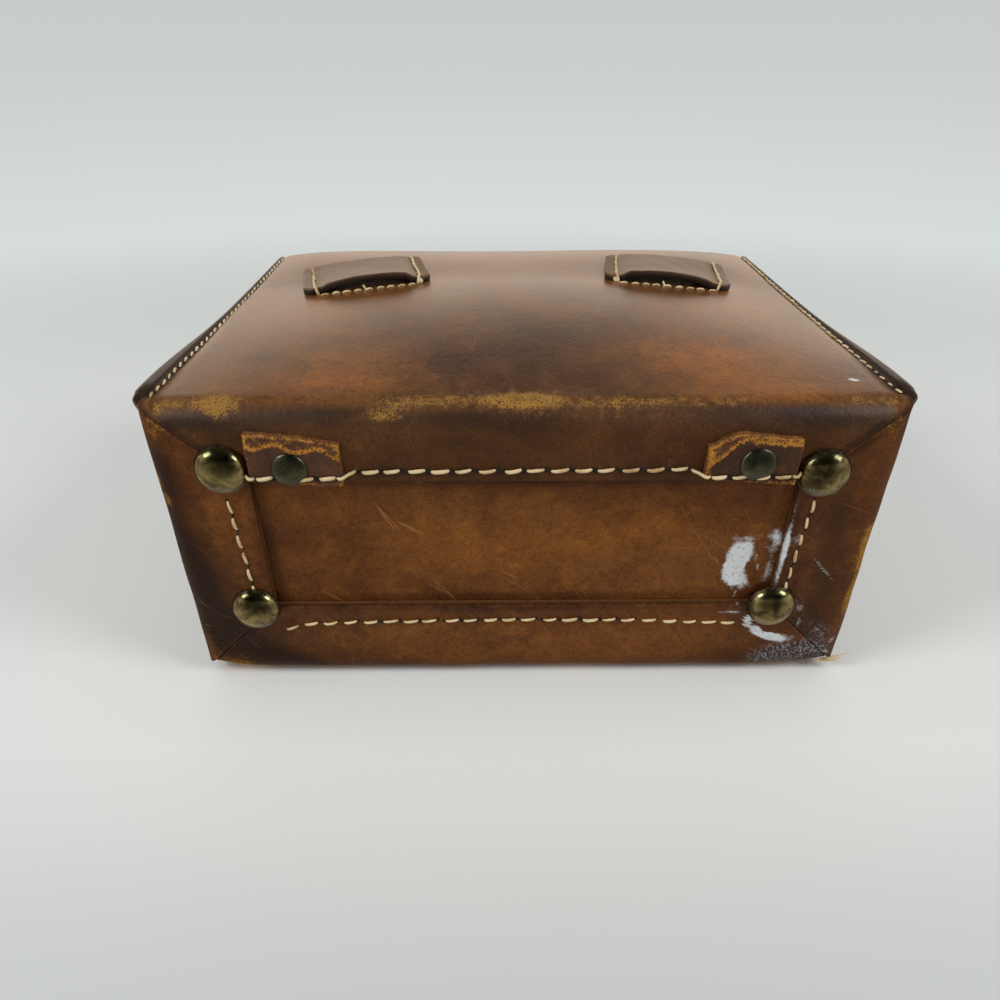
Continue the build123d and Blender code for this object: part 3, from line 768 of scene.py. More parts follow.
class Finishes:
    """All finishes of the case, each built once."""

    def __init__(self) -> None:
        """Build them."""
        flat = (0.0, 0.0, 1.0)
        # The back is waxed and handled: dark brown, orange where it was rubbed, with a soft gloss
        self.back = Leather(
            "saddle_leather_waxed_back", "#66411D", "#4A2B12", "#8C521A", rough=0.38, gloss=0.3, wax=0.9,
            wax_rough=0.33, scratch=0.2, turns=(-80.0, -95.0), ochre="#9C7230", mottle=0.5,
        ).material()
        # The walls and flanges are darker and duller than the back
        self.wall = Leather(
            "saddle_leather_flanges", "#593214", "#3C2110", "#7A4A1E", rough=0.42, across=flat,
            turns=(-50.0, -20.0), scratch=0.3,
        ).material()
        # The base is warm and scratched, with less wax
        self.base = Leather(
            "saddle_leather_base", "#6A401D", "#542E14", "#82501E", rough=0.44, scratch=0.6, across=flat,
            turns=(-58.0, -33.0),
        ).material()
        # Strap ends: thick strap leather with raw tan edges
        self.strap = Leather(
            "strap_leather_raw_edges", "#4C3528", "#3A261C", "#7A4820", rough=0.4, edge_colour="#9A6A34",
            edge_deep="#4A260C", ochre="#B27C32", crumb="#5A2E0C", scratch=0.25, across=flat, mottle=0.2,
            ragged=0.35,
        ).material()
        # Loops: thinner, softer strap leather, greyed by handling, with dark edges; their flesh side is
        # painted near black as the shade inside the loop
        self.loop = Leather(
            "strap_leather_loops", "#5E402B", "#46301F", "#8A6236", rough=0.42, gloss=0.3, wax=0.35,
            edge_colour="#2C1A10", edge_deep="#140A06", scratch=0.2, ochre="#9A7C3E", crumb="#5E4A22",
            flesh="#1E120B",
        ).material()
        self.brass = Brass("antique_brass_domes").material()
        self.rivet = Brass(
            "blackened_brass_rivets", "#575B49", "#3A3F34", "#454940", "#575B50", rough=0.32
        ).material()
        self.clasp = Brass(
            "tarnished_brass_clasp", "#A0906A", "#6B5C3C", "#40382A", "#6A6252", rough=0.28, patina=0.4
        ).material()
        self.thread = Thread().material()
        # Needle holes: near black, as painted shade inside them
        self.hole = Plain("stitch_holes", "#0D0805", "#1A100A", 0.9).material()
        self.board = Plain("grey_pulp_board", "#8A7458", "#6B563E", 0.85, 1.6).material()
        self.lining = Plain("napped_lining_cloth", "#5A231E", "#431712", 0.92, 0.6, 0.7).material()


def settle(
    piece: bpy.types.Object, body: Body, slot: str, material: bpy.types.Material, *nodes: str
) -> bpy.types.Object:
    """Dress a piece, fix it to its body and hide the solids that it stands for."""
    piece.data.materials.append(material)
    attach(piece, body.value)
    if nodes:
        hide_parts(*nodes)
    return piece


# Half the open joint between two mitred flanges, in mm
MITRE_GAP = 0.05


def mitred(inset: Array, half: Array, full: float, keep: float) -> Array:
    """Columns of a sheet whose width changes: near both sides they keep their distance, and spread between.

    Args:
        inset: each column's place from one side of the full width.
        half: half the width of each row.
        full: half the full width.
        keep: how far from the sides the distance is kept.

    Returns:
        Places x, rows by columns.
    """
    side = inset / full - 1
    near = np.minimum(inset, 2 * full - inset)
    return np.where(
        near[None, :] <= keep,
        np.sign(side)[None, :] * (half[:, None] - near[None, :]),
        side[None, :] * (half[:, None] - keep) / (1 - keep / full),
    )


# The chalky spill at one corner of the base, on all sheets there: places x, y from the case's middle
SPILL = spots(
    (-66.8, -4, 3.6, 5.2, 1.5, 14, True), (-65.6, -11, 3.6, 5, 1.5, -10, True),
    (-69.2, -15.4, 2.6, 3, 0.75), (-63.4, -3, 1.6, 7, 0.5, 8), (-69.5, 2.6, 6, 0.8, 0.6, -4),
    (-74.2, -1.2, 2.6, 0.7, 0.6, 30), (-72.2, -7, 0.6, 5, 0.7, -14), (-76.6, 2.4, 1.9, 4.6, 0.75, -24),
    (-76.2, -8, 1.5, 8, 0.6), (-67.2, -19.6, 3.4, 0.7, 0.6, 62), (-66, -24.2, 7, 0.6, 0.7, -3),
    (-72.4, -28, 1.5, 2.8, 1.3, 10, True), (-75.6, -32, 3, 1.7, 1.3, 42, True),
    (-80.4, -34.6, 3.6, 1.7, 1.3, 12, True), (-84.4, -35.6, 3.4, 2.4, 1), (-88.8, -30, 1, 5, 0.6),
    (-87.4, -22.6, 1.6, 2.2, 0.6), (-84.8, -19.6, 3, 1, 0.6), (-81.4, 4.4, 1.6, 2.6, 0.5),
    (-81.8, -2.8, 1.4, 1.8, 0.45), (-92, -7.7, 8, 0.6, 0.62, 48), (-95.5, -31.5, 7, 0.6, 0.6, 44),
    (-101.4, -36.5, 1.2, 4.6, 0.5, 20), (-100.5, -41.6, 3, 1.2, 0.5),
)
# Grey dust ground into the darkened corner below that foot
ASH = spots(
    (-86, -42, 9, 4.6, 1), (-94, -42, 9, 4, 0.9), (-80, -44, 5, 3, 0.6), (-97, -33, 5, 6, 0.5),
    (-90.5, -27, 3, 6, 0.35),
)


@dataclass
class WrapLeather:
    """The one long sheet: base flange, rolled edge, bulging back, hinge, lid top and front flap.

    Painted places are x and the distance along the sheet from where the back begins: negative on the flange.
    """

    # Upright creases: their place x, and how far up the back they reach
    CREASES = ((46.8, 16), (34.6, 22), (-3.9, 12), (-38.0, 20), (71.0, 12))
    DENTS = spots((38, -6, 9, 5, 0.7), (-30, -7, 12, 4, 0.5), (70, -6, 12, 4, 0.3))
    FLECK = Spot(-94, 8, 1.7, 1.0, 1.4)
    # Where hands darkened the flap: x and the distance down it
    HANDLED = spots((0, 30, 50, 26, 0.35), (70, 20, 30, 24, 0.25))
    WORN = spots(
        (93, -4, 13, 3.6, 0.62), (83, -5, 5, 4.2, 0.85), (103, -9, 4, 6, 0.7), (64, -1, 22, 3, 0.36),
        (34, -4, 9, 3.4, 0.5), (40, -8, 5, 2, 0.55), (16, -3, 14, 3.4, 0.4), (3, -3, 8, 3.6, 0.66),
        (-3, -3, 5, 3, 0.55), (-24, -4, 24, 3.4, 0.42), (-58, -4, 22, 3, 0.32), (-93, -4, 12, 3.6, 0.55),
        (-84, 1, 10, 1.6, 0.35), (-104, -9, 5, 6, 0.6), (-20, -9, 30, 1.6, 0.35), (50, -9, 22, 1.4, 0.3),
        (0, -3, 92, 5, 0.25), (-20, 1, 50, 5, 0.12),
    )
    # Dark spots, mostly stains; the two long strips at x ±65.5, turned like the strap loops, are painted
    # shade under the loops
    DARK = spots(
        (0, 26, 32, 16, 0.34), (-16, 44, 26, 14, 0.24), (20, 14, 16, 10, 0.26), (-24, 10, 18, 8, 0.24),
        (36, -2, 7, 3.4, 0.55), (-65.5, 121, 15, 3, 0.9, 8), (65.5, 118, 15, 3, 0.9, -12),
        (103, 150, 4, 5, 1), (-103, 150, 4, 5, 1), (58, -7, 20, 3.4, 0.5), (14, -8, 26, 3.2, 0.4),
        (-26, -2, 14, 3, 0.4), (-56, -6, 26, 3.2, 0.5), (-84, -8, 16, 4, 0.5), (92, -9, 12, 3.5, 0.5),
        (10, 59, 2.6, 2, 0.6), (0.6, 39, 2.2, 1.6, 0.7), (-29, 70, 2.4, 1.8, 0.55), (24, 88, 3, 2, 0.4),
        (-14, 104, 4, 2.4, 0.35), (88, 40, 10, 30, 0.22), (-92, 50, 9, 34, 0.22),
    )
    TAN = spots(
        (58, 6, 24, 9, 0.55), (50, 20, 16, 12, 0.36), (80, 2, 14, 6, 0.3), (-64, 18, 24, 13, 0.72),
        (-72, 0, 26, 9, 0.7), (-46, 22, 16, 12, 0.45), (70, 66, 28, 30, 0.4), (-72, 70, 28, 32, 0.45),
        (0, 116, 90, 30, 0.35),
    )

    s: CaseSizes
    edge: float = 0.6
    keep: float = 5.6
    flap_rise: float = 12.0
    flap_corner: float = 14.0
    base_row: float = 3.4
    lengths: list[float] = field(init=False)
    starts: Array = field(init=False)

    def __post_init__(self) -> None:
        """Lay out the path's pieces: flange, roll, back, hinge, lid top, front roll and flap."""
        s = self.s
        quarter = np.pi / 2
        self.lengths = [
            s.back_y - s.base_roll - s.window_back,
            s.base_roll * quarter,
            s.hinge_z - s.base_under - s.base_roll,
            s.hinge_roll * quarter,
            (s.back_y - s.hinge_roll) - (s.flap_front + s.front_roll),
            s.front_roll * quarter,
            s.lid_top - s.front_roll - s.flap_edge,
        ]
        self.starts = np.concatenate([[0.0], np.cumsum(self.lengths)])

    def path(self, p: Array) -> tuple[Array, Array]:
        """The sheet's section: straight runs joined by quarter circles.

        Args:
            p: distances along the section from the flange's edge, in mm.

        Returns:
            Places y and z.
        """
        s = self.s
        q = [np.clip(p - start, 0, length) for start, length in zip(self.starts, self.lengths)]
        base, hinge, front = q[1] / s.base_roll, q[3] / s.hinge_roll, q[5] / s.front_roll
        y = s.window_back + q[0] + s.base_roll * np.sin(base) - s.hinge_roll * (1 - np.cos(hinge)) - q[4]
        y = y - s.front_roll * np.sin(front)
        z = s.base_under + s.base_roll * (1 - np.cos(base)) + q[2] + s.hinge_roll * np.sin(hinge)
        return y, z - s.front_roll * (1 - np.cos(front)) - q[6]

    def half_widths(self, p: Array, y: Array) -> Array:
        """Half the sheet's width: the mitre on the base, then the back's width with its ears, then the lid's.

        Args:
            p: distances along the section.
            y: the section's places there.

        Returns:
            Half widths in mm.
        """
        s = self.s
        slope = (s.half_width - s.window_x) / (s.back_y - s.window_back)
        mitre = s.window_x + (y - s.window_back) * slope - MITRE_GAP
        lid = s.sheet_half + (s.lid_half - s.sheet_half) * smooth(self.starts[3], self.starts[4], p)
        along = p - self.starts[2]
        ears = s.flare * smooth(-11, -2, along) * smooth(80, 12, along)
        return np.where(p <= self.starts[2], np.minimum(mitre, s.sheet_half), lid) + ears

    def flap_end(self, x: Array) -> Array:
        """Level of the flap's lower edge: a shallow curve with rounded corners."""
        s, corner = self.s, self.flap_corner
        straight = s.lid_half - corner
        level = s.flap_edge + self.flap_rise * np.clip(np.abs(x) / straight, 0, 1) ** 2
        past = np.clip(np.abs(x) - straight, 0, corner * 0.995)
        return level + corner - np.sqrt(corner**2 - past**2)

    def build(self, look: Finishes) -> bpy.types.Object:
        """Make the sheet.

        Args:
            look: the finishes.

        Returns:
            The piece, one sheet across the hinge.
        """
        s = self.s
        extra = [s.sheet_half + x + dx for x, _ in self.CREASES for dx in (-0.8, -0.25, 0.25, 0.8)]
        segments = ((28.0, 1.0), (self.starts[3], 1.6))
        p, row_distance = stations(self.starts[-1], 2.6, self.edge, segments=segments)
        inset, column_distance = stations(2 * s.sheet_half, 1.8, self.edge, fine=self.keep, extra=extra)
        y, z = self.path(p)
        half = self.half_widths(p, y)
        x = mitred(inset, half, s.sheet_half, self.keep)
        y = np.broadcast_to(y[:, None], x.shape).copy()
        z = np.broadcast_to(z[:, None], x.shape).copy()
        on_back = (p[:, None] > self.starts[2]) * (p[:, None] < self.starts[4])
        fade = smooth(self.starts[4] + 4, self.starts[3], p)[:, None]
        y = y + s.crown(x, z) * on_back * fade
        flap = p[:, None] >= self.starts[6]
        share = np.clip((p[:, None] - self.starts[6]) / self.lengths[6], 0, 1)
        top = s.lid_top - s.front_roll
        z = np.where(flap, top - (top - self.flap_end(x)) * share, z)
        points = np.stack([x, y, z], -1)
        points = points + grid_normals(points) * self.relief(points, p, half)[..., None]
        marks = self.paint(points, p, half)
        distances = (row_distance, column_distance)
        piece = thick_sheet("wrap_leather", points, s.leather, self.edge, *distances, marks)
        piece.data.materials.append(look.back)
        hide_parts("back_panel", "hinge_fold", "lid_top", "lid_front_flap")
        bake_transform(piece)
        return piece

    def creased(self, x: Array, along: Array, width: float) -> Array:
        """The upright creases: wavy bells across the sheet, each as long as its reach up the back.

        Args:
            x: places across the sheet.
            along: distances from where the back begins.
            width: the bell's width.

        Returns:
            The creases, 0 to about 1.
        """
        lines = np.zeros_like(x)
        for place, reach in self.CREASES:
            wander = 0.6 * np.sin(along / 5.0 + place)
            shown = smooth(reach, 0, along) * smooth(-12, -6, along)
            lines = lines + bell(x - place - wander, width) * shown
        return lines

    def relief(self, points: Array, p: Array, half: Array) -> Array:
        """Small rises and dips.

        The leather is uneven, the thread pulls furrows, the sides roll over in a quarter circle of rim_round,
        the roll at the base is dented where it was knocked, and handling left upright creases.

        Args:
            points: the sheet's outer face.
            p: each row's distance along the section.
            half: each row's half width.

        Returns:
            Heights along the face's normals, in mm.
        """
        s = self.s
        x = points[..., 0]
        from_side = half[:, None] - np.abs(x)
        from_seam = s.sheet_half - np.abs(x) - s.seam_inset
        along = p[:, None] - self.starts[2]
        lid, hinge = self.starts[4] - self.starts[2], self.starts[3] - self.starts[2]
        on_back = smooth(-4, 5, along) * smooth(lid, hinge, along)
        rise = 0.34 * waves(points, 52, 3)
        furrow = bell(from_seam, 1.1) * 0.5 * on_back
        swell = smooth(-0.4, -1.8, from_seam) * (0.5 + 0.9 * smooth(60, 6, along)) * on_back
        near = np.clip(s.rim_round - from_side, 0, s.rim_round * 0.98) / s.rim_round
        rim = s.rim_round * 0.8 * (1 - np.sqrt(1 - near**2)) * on_back
        seam = bell(p - self.base_row, 1.2)[:, None] * 0.4
        quiet = smooth(0, 3, from_side) * smooth(-0.5, 4, p[:, None])
        dents = 0.9 * painted(x, along, self.DENTS) * quiet
        return rise * quiet - furrow + swell - rim - seam - dents - 0.06 * self.creased(x, along, 0.5)

    def paint(self, points: Array, p: Array, half: Array) -> dict[str, Array]:
        """Where the sheet is worn, dark, tan, chalky and matt.

        Args:
            points: the sheet's outer face.
            p: each row's distance along the section.
            half: each row's half width.

        Returns:
            The marks by name.
        """
        s = self.s
        x = points[..., 0]
        along = np.broadcast_to(p[:, None] - self.starts[2], x.shape)
        from_side = half[:, None] - np.abs(x)
        on_flange = (p < self.starts[1] + 4)[:, None]
        hinge, lid, front, flap = (self.starts[k] - self.starts[2] for k in (3, 4, 5, 6))
        worn = painted(x, along, self.WORN)
        worn = np.maximum(worn, 0.42 * bell(from_side, 1.0) * on_flange)
        worn = np.maximum(worn, 0.38 * bell(p, 0.9)[:, None])
        # The lid's front edge and the flap's lower edge are rubbed
        folds = 0.5 * bell(along - front - 4, 3.0) + 0.45 * smooth(flap + 60, flap + 66, along)
        worn = np.maximum(worn, folds * (0.75 + 0.4 * waves(points, 24, 9)))
        worn = np.maximum(worn, 0.34 * self.creased(x, along, 0.55))
        # Dark: the turned-over rim, the flange beside its mitres, and the handled lid
        rim = smooth(s.seam_inset + 0.3, s.seam_inset - 0.9, s.sheet_half - np.abs(x))
        rim = rim * smooth(-13, -8, along)
        flange = smooth(-3, -12, along)
        mitre = 0.3 * bell(from_side - 1.6, 1.6) * on_flange
        dark = np.clip(np.maximum(painted(x, along, self.DARK) + 0.5 * flange + mitre, rim), 0, 1)
        on_lid = smooth(hinge, lid, along)
        handled = painted(x, along - flap, self.HANDLED)
        dark = np.maximum(dark * (1 - on_lid), (0.18 + handled) * on_lid)
        return {
            "worn": worn * (1 - 0.85 * rim),
            "dark": dark,
            "tan": painted(x, along, self.TAN) * (1 - 0.8 * flange),
            "chalk": self.FLECK.on(x, along),
            "matt": np.maximum(flange, 0.6 * rim),
        }


@dataclass
class FrontLeather:
    """The front sheet: its base flange, rolled edge and wall.

    Painted places are x and the distance from the window's edge. The edge by the base is full, and bulges
    towards the table.
    """

    WORN = spots(
        (96, 25, 9, 5, 0.9), (88, 29, 14, 3, 0.6), (20, 26, 60, 1.5, 0.42), (0, 19, 64, 5, 0.22),
        (58, 27, 20, 2, 0.5), (-20, 27, 14, 2, 0.5), (-50, 26, 24, 1.5, 0.48), (-98, 26, 8, 4, 0.5),
    )
    DARK = spots(
        (87, 17, 11, 8, 1), (72, 24, 12, 5, 0.85), (96, 12, 8, 8, 0.6), (40, 27, 12, 3, 0.5),
        (8, 26, 16, 3, 0.55), (-40, 27, 14, 3, 0.5), (-70, 22, 14, 5, 0.6), (0, 1, 80, 1.8, 0.45),
    )
    TAN = spots((30, 11, 50, 7, 0.55), (-40, 11, 30, 7, 0.5), (-10, 20, 50, 5, 0.4))

    s: CaseSizes
    edge: float = 0.6
    full: float = 3.3
    sewn_row: float = 5.4

    def build(self, look: Finishes) -> None:
        """Make the sheet from a section of two runs and a quarter circle, carried along X."""
        s = self.s
        run = s.window_front - (s.front_y + s.base_roll)
        roll = s.base_roll * np.pi / 2
        wall = s.rim - s.base_under - s.base_roll
        p, row_distance = stations(run + roll + wall, 2.6, self.edge, segments=((34.0, 0.9),))
        turn = np.clip((p - run) / s.base_roll, 0, np.pi / 2)
        y = np.where(p <= run, s.window_front - p, s.front_y + s.base_roll * (1 - np.sin(turn)))
        z = s.base_under + s.base_roll * (1 - np.cos(turn)) + np.clip(p - run - roll, 0, None)
        slope = (s.half_width - s.window_x) / (s.window_front - s.front_y)
        mitre = s.window_x + (s.window_front - y) * slope - MITRE_GAP
        half = np.where(z < s.base_under + s.base_roll, np.minimum(mitre, s.sheet_half), s.sheet_half)
        inset, column_distance = stations(2 * s.sheet_half, 1.5, self.edge)
        x = mitred(inset, half, s.sheet_half, self.edge)
        y, z = (np.broadcast_to(values[:, None], x.shape) for values in (y, z))
        points = np.stack([x, y, z], -1)
        from_side = half[:, None] - np.abs(x)
        seam = bell(p - self.sewn_row, 1.2)[:, None] * 0.4
        quiet = smooth(0, 3, from_side) * smooth(0, 4, p)[:, None]
        full = smooth(run - 1, run + 0.7 * roll, p) * smooth(run + roll + 60, run + roll + 4, p)
        bulge = self.full * full[:, None] * np.clip(1 - (np.abs(x) / s.sheet_half) ** 14, 0, 1)
        uneven = (0.24 * waves(points, 40, 7) + 0.08 * waves(points, 12, 8)) * quiet
        points = points - grid_normals(points) * (uneven - seam + bulge)[..., None]
        along = np.broadcast_to(p[:, None], x.shape)
        on_flange = smooth(run + 6, run, along)
        worn = np.maximum(painted(x, along, self.WORN), 0.4 * bell(from_side, 1.0) * on_flange)
        worn = np.maximum(worn, 0.36 * bell(along, 0.9))
        dark = painted(x, along, self.DARK) + 0.3 * bell(from_side - 1.6, 1.6) * on_flange
        dark = np.clip(dark, 0, 1)
        dark = np.maximum(dark, 0.45 * smooth(4.0, 1.0, from_side) * (1 - on_flange))
        place = (x, points[..., 1] - s.middle_y)
        near = smooth(run + 15, run + 10, along)
        marks = {
            "worn": worn,
            "dark": dark,
            "tan": painted(x, along, self.TAN),
            "chalk": painted(*place, SPILL) * near,
            "ash": painted(*place, ASH) * near,
            "matt": smooth(run - 2, run + 4, along),
        }
        distances = (row_distance, column_distance)
        piece = thick_sheet("front_leather", points, s.leather, self.edge, *distances, marks, flip=True)
        settle(piece, Body.CASE, "saddle_leather", look.wall, "front_panel")


@dataclass
class SideLeather:
    """A side sheet: its base flange, rolled edge and wall, between the front and back sheets.

    Its side is 1 for +X and -1 for -X.

    Painted places are y from the case's middle and the distance from the window's edge.
    """

    WORN = {
        1: spots(
            (25, 27, 5, 2.6, 0.85), (18, 25, 3, 2.2, 0.7), (8, 29, 10, 1.6, 0.4), (-36, 24, 6, 3, 0.55),
            (-44, 20, 4, 6, 0.75), (43, 22, 6, 5, 0.7), (-8, 30, 14, 1.4, 0.4),
        ),
        -1: spots(
            (4, 25, 8, 3, 0.95), (-10, 26, 12, 3, 0.95), (-22, 25, 7, 2.6, 0.75), (24, 28, 12, 1.8, 0.55),
            (43, 22, 6, 5, 0.7), (-34, 28, 8, 2, 0.5), (30, 18, 3, 1.2, 0.6),
        ),
    }
    DARK = {
        1: spots(
            (-20, 22, 18, 8, 1), (-34, 16, 9, 7, 1), (8, 26, 24, 5, 0.85), (30, 24, 9, 5, 0.5),
            (-43, 10, 7, 7, 0.9), (2, 20, 26, 6, 0.3), (0, 1, 26, 1.6, 0.4),
        ),
        -1: spots(
            (-10, 15, 24, 7, 0.35), (14, 13, 20, 6, 0.35), (36, 14, 8, 10, 0.3), (-30, 16, 9, 9, 0.45),
            (0, 1.2, 26, 1.6, 0.5),
        ),
    }
    TAN = {1: (Spot(10, 9, 24, 7, 0.4),), -1: (Spot(12, 8, 20, 7, 0.25),)}

    # The spill's thin line down the inner edge of the flange at -X
    LIP = Spot(-78.4, 0, 0.7, 17, 0.8)

    s: CaseSizes
    side: int
    edge: float = 0.6
    gap: float = 0.2
    sewn_row: float = 5.2

    def build(self, look: Finishes) -> None:
        """Make the sheet from a section in XZ carried along Y between the mitre lines or the sheets."""
        s, side, edge = self.s, self.side, self.edge
        run = s.half_width - s.side_roll - s.window_x
        roll = s.side_roll * np.pi / 2
        wall = s.rim - s.base_under - s.side_roll
        p, row_distance = stations(run + roll + wall, 2.4, edge, segments=((34.0, 0.9),))
        turn = np.clip((p - run) / s.side_roll, 0, np.pi / 2)
        x = np.where(p <= run, s.window_x + p, s.half_width - s.side_roll * (1 - np.sin(turn)))
        z = s.base_under + s.side_roll * (1 - np.cos(turn)) + np.clip(p - run - roll, 0, None)
        inner_back, inner_front = s.back_y - s.leather - self.gap, s.front_y + s.leather + self.gap
        slope_back = (s.back_y - s.window_back) / (s.half_width - s.window_x)
        slope_front = (s.window_front - s.front_y) / (s.half_width - s.window_x)
        high = s.window_back + (x - s.window_x) * slope_back - MITRE_GAP
        low = s.window_front - (x - s.window_x) * slope_front + MITRE_GAP
        above = smooth(s.base_under + s.base_roll - 1.2, s.base_under + s.base_roll, z)
        high = high + (inner_back - high) * above
        low = low + (inner_front - low) * above
        # The rear top corner steps forward under the hinge
        notch = smooth(s.hinge_z - 2.0, s.hinge_z - 0.6, z)
        high = high + (s.back_y - s.hinge_roll - 0.4 - high) * notch
        t, column_distance = stations(2 * s.half_depth, 1.2, edge)
        length = 2 * s.half_depth
        span = (high - low)[:, None]
        inner = low[:, None] + edge + (t[None, :] - edge) / (length - 2 * edge) * (span - 2 * edge)
        y = np.where(t[None, :] <= edge, low[:, None] + t[None, :], inner)
        y = np.where(length - t[None, :] <= edge, high[:, None] - (length - t[None, :]), y)
        x, z = (np.broadcast_to(values[:, None], y.shape) for values in (side * x, z))
        points = np.stack([x, y, z], -1)
        from_side = np.minimum(y - low[:, None], high[:, None] - y)
        quiet = smooth(0, 3, from_side) * smooth(0, 4, p)[:, None]
        rise = (0.26 * waves(points, 42, 11 + side) + 0.08 * waves(points, 12, 14 + side)) * quiet
        rise = rise - bell(p - self.sewn_row, 1.2)[:, None] * 0.4
        points = points + grid_normals(points) * -side * rise[..., None]
        across = points[..., 1] - s.middle_y
        along = np.broadcast_to(p[:, None], y.shape)
        on_flange = smooth(run + 5, run, along)
        worn = np.maximum(painted(across, along, self.WORN[side]), 0.42 * bell(from_side, 1.0) * on_flange)
        worn = np.maximum(worn, 0.36 * bell(along, 0.9))
        dark = painted(across, along, self.DARK[side]) + 0.3 * bell(from_side - 1.6, 1.6) * on_flange
        dark = np.clip(dark, 0, 1)
        dark = np.maximum(dark, 0.25 * (1 - on_flange))
        near = smooth(run + 11, run + 6, along)
        marks = {
            "worn": worn,
            "dark": dark,
            "tan": painted(across, along, self.TAN[side]),
            "chalk": painted(points[..., 0], across, (*SPILL, self.LIP)) * near,
            "ash": painted(points[..., 0], across, ASH) * near,
            "matt": smooth(run - 1, run + 4, along),
        }
        word = "right" if side > 0 else "left"
        distances = (row_distance, column_distance)
        name = f"{word}_side_leather"
        piece = thick_sheet(name, points, s.leather, edge, *distances, marks, flip=side > 0)
        settle(piece, Body.CASE, "saddle_leather", look.wall, f"{word}_side_panel")


@dataclass
class BaseLeather:
    """The inner sheet that shows in the base's window. Painted places are x, y from the case's middle."""

    # Dark: the bands along the window's four edges are painted shade under the flanges' lips; the rest are
    # stains
    DARK = spots(
        (0, 23.5, 95, 2.6, 0.7), (0, -20, 95, 2.6, 0.5), (77, 0, 3.4, 30, 0.6), (-77, 0, 3, 30, 0.4),
        (-20, 17, 40, 4, 0.25), (48, 8, 12, 8, 0.2), (10, -12, 30, 4, 0.2),
    )
    WORN = spots((30, 6, 9, 0.8, 0.35, -24), (-24, -6, 10, 0.8, 0.35, 28))
    TAN = spots((20, -2, 34, 10, 0.55), (-30, 3, 30, 9, 0.55), (60, 12, 14, 6, 0.3))

    s: CaseSizes
    edge: float = 0.6
    step: float = 1.1
    lift: float = 0.02

    def build(self, look: Finishes) -> None:
        """Make the flat sheet, a little hollow and uneven, above the flanges."""
        s = self.s
        low, high = s.corners("base_panel")
        u, row_distance = stations(high[0] - low[0], self.step, self.edge)
        v, column_distance = stations(high[1] - low[1], self.step, self.edge)
        x, y = np.meshgrid(low[0] + u, low[1] + v, indexing="ij")
        points = np.stack([x, y, np.full_like(x, low[2] + self.lift)], -1)
        from_window = np.minimum(s.window_back - y, y - s.window_front)
        inside = smooth(4, 9, s.window_x - np.abs(x)) * smooth(3, 8, from_window)
        points[..., 2] += (0.25 - 0.2 * waves(points, 50, 21) - 0.06 * waves(points, 14, 22)) * inside
        across = y - s.middle_y
        marks = {
            "worn": painted(x, across, self.WORN),
            "dark": painted(x, across, self.DARK),
            "tan": painted(x, across, self.TAN),
            "chalk": painted(x, across, SPILL),
            "ash": painted(x, across, ASH),
        }
        distances = (row_distance, column_distance)
        piece = thick_sheet("base_leather", points, s.leather, self.edge, *distances, marks, flip=True)
        settle(piece, Body.CASE, "base_leather", look.base, "base_panel")


@dataclass
class Seam:
    """A row of saddle stitches, in mm: spacing, the share that is thread, half thickness, slant and rise."""

    pitch: float
    share: float = 0.80
    radius: float = 0.5
    lean: float = 0.0
    arch: float = 0.9


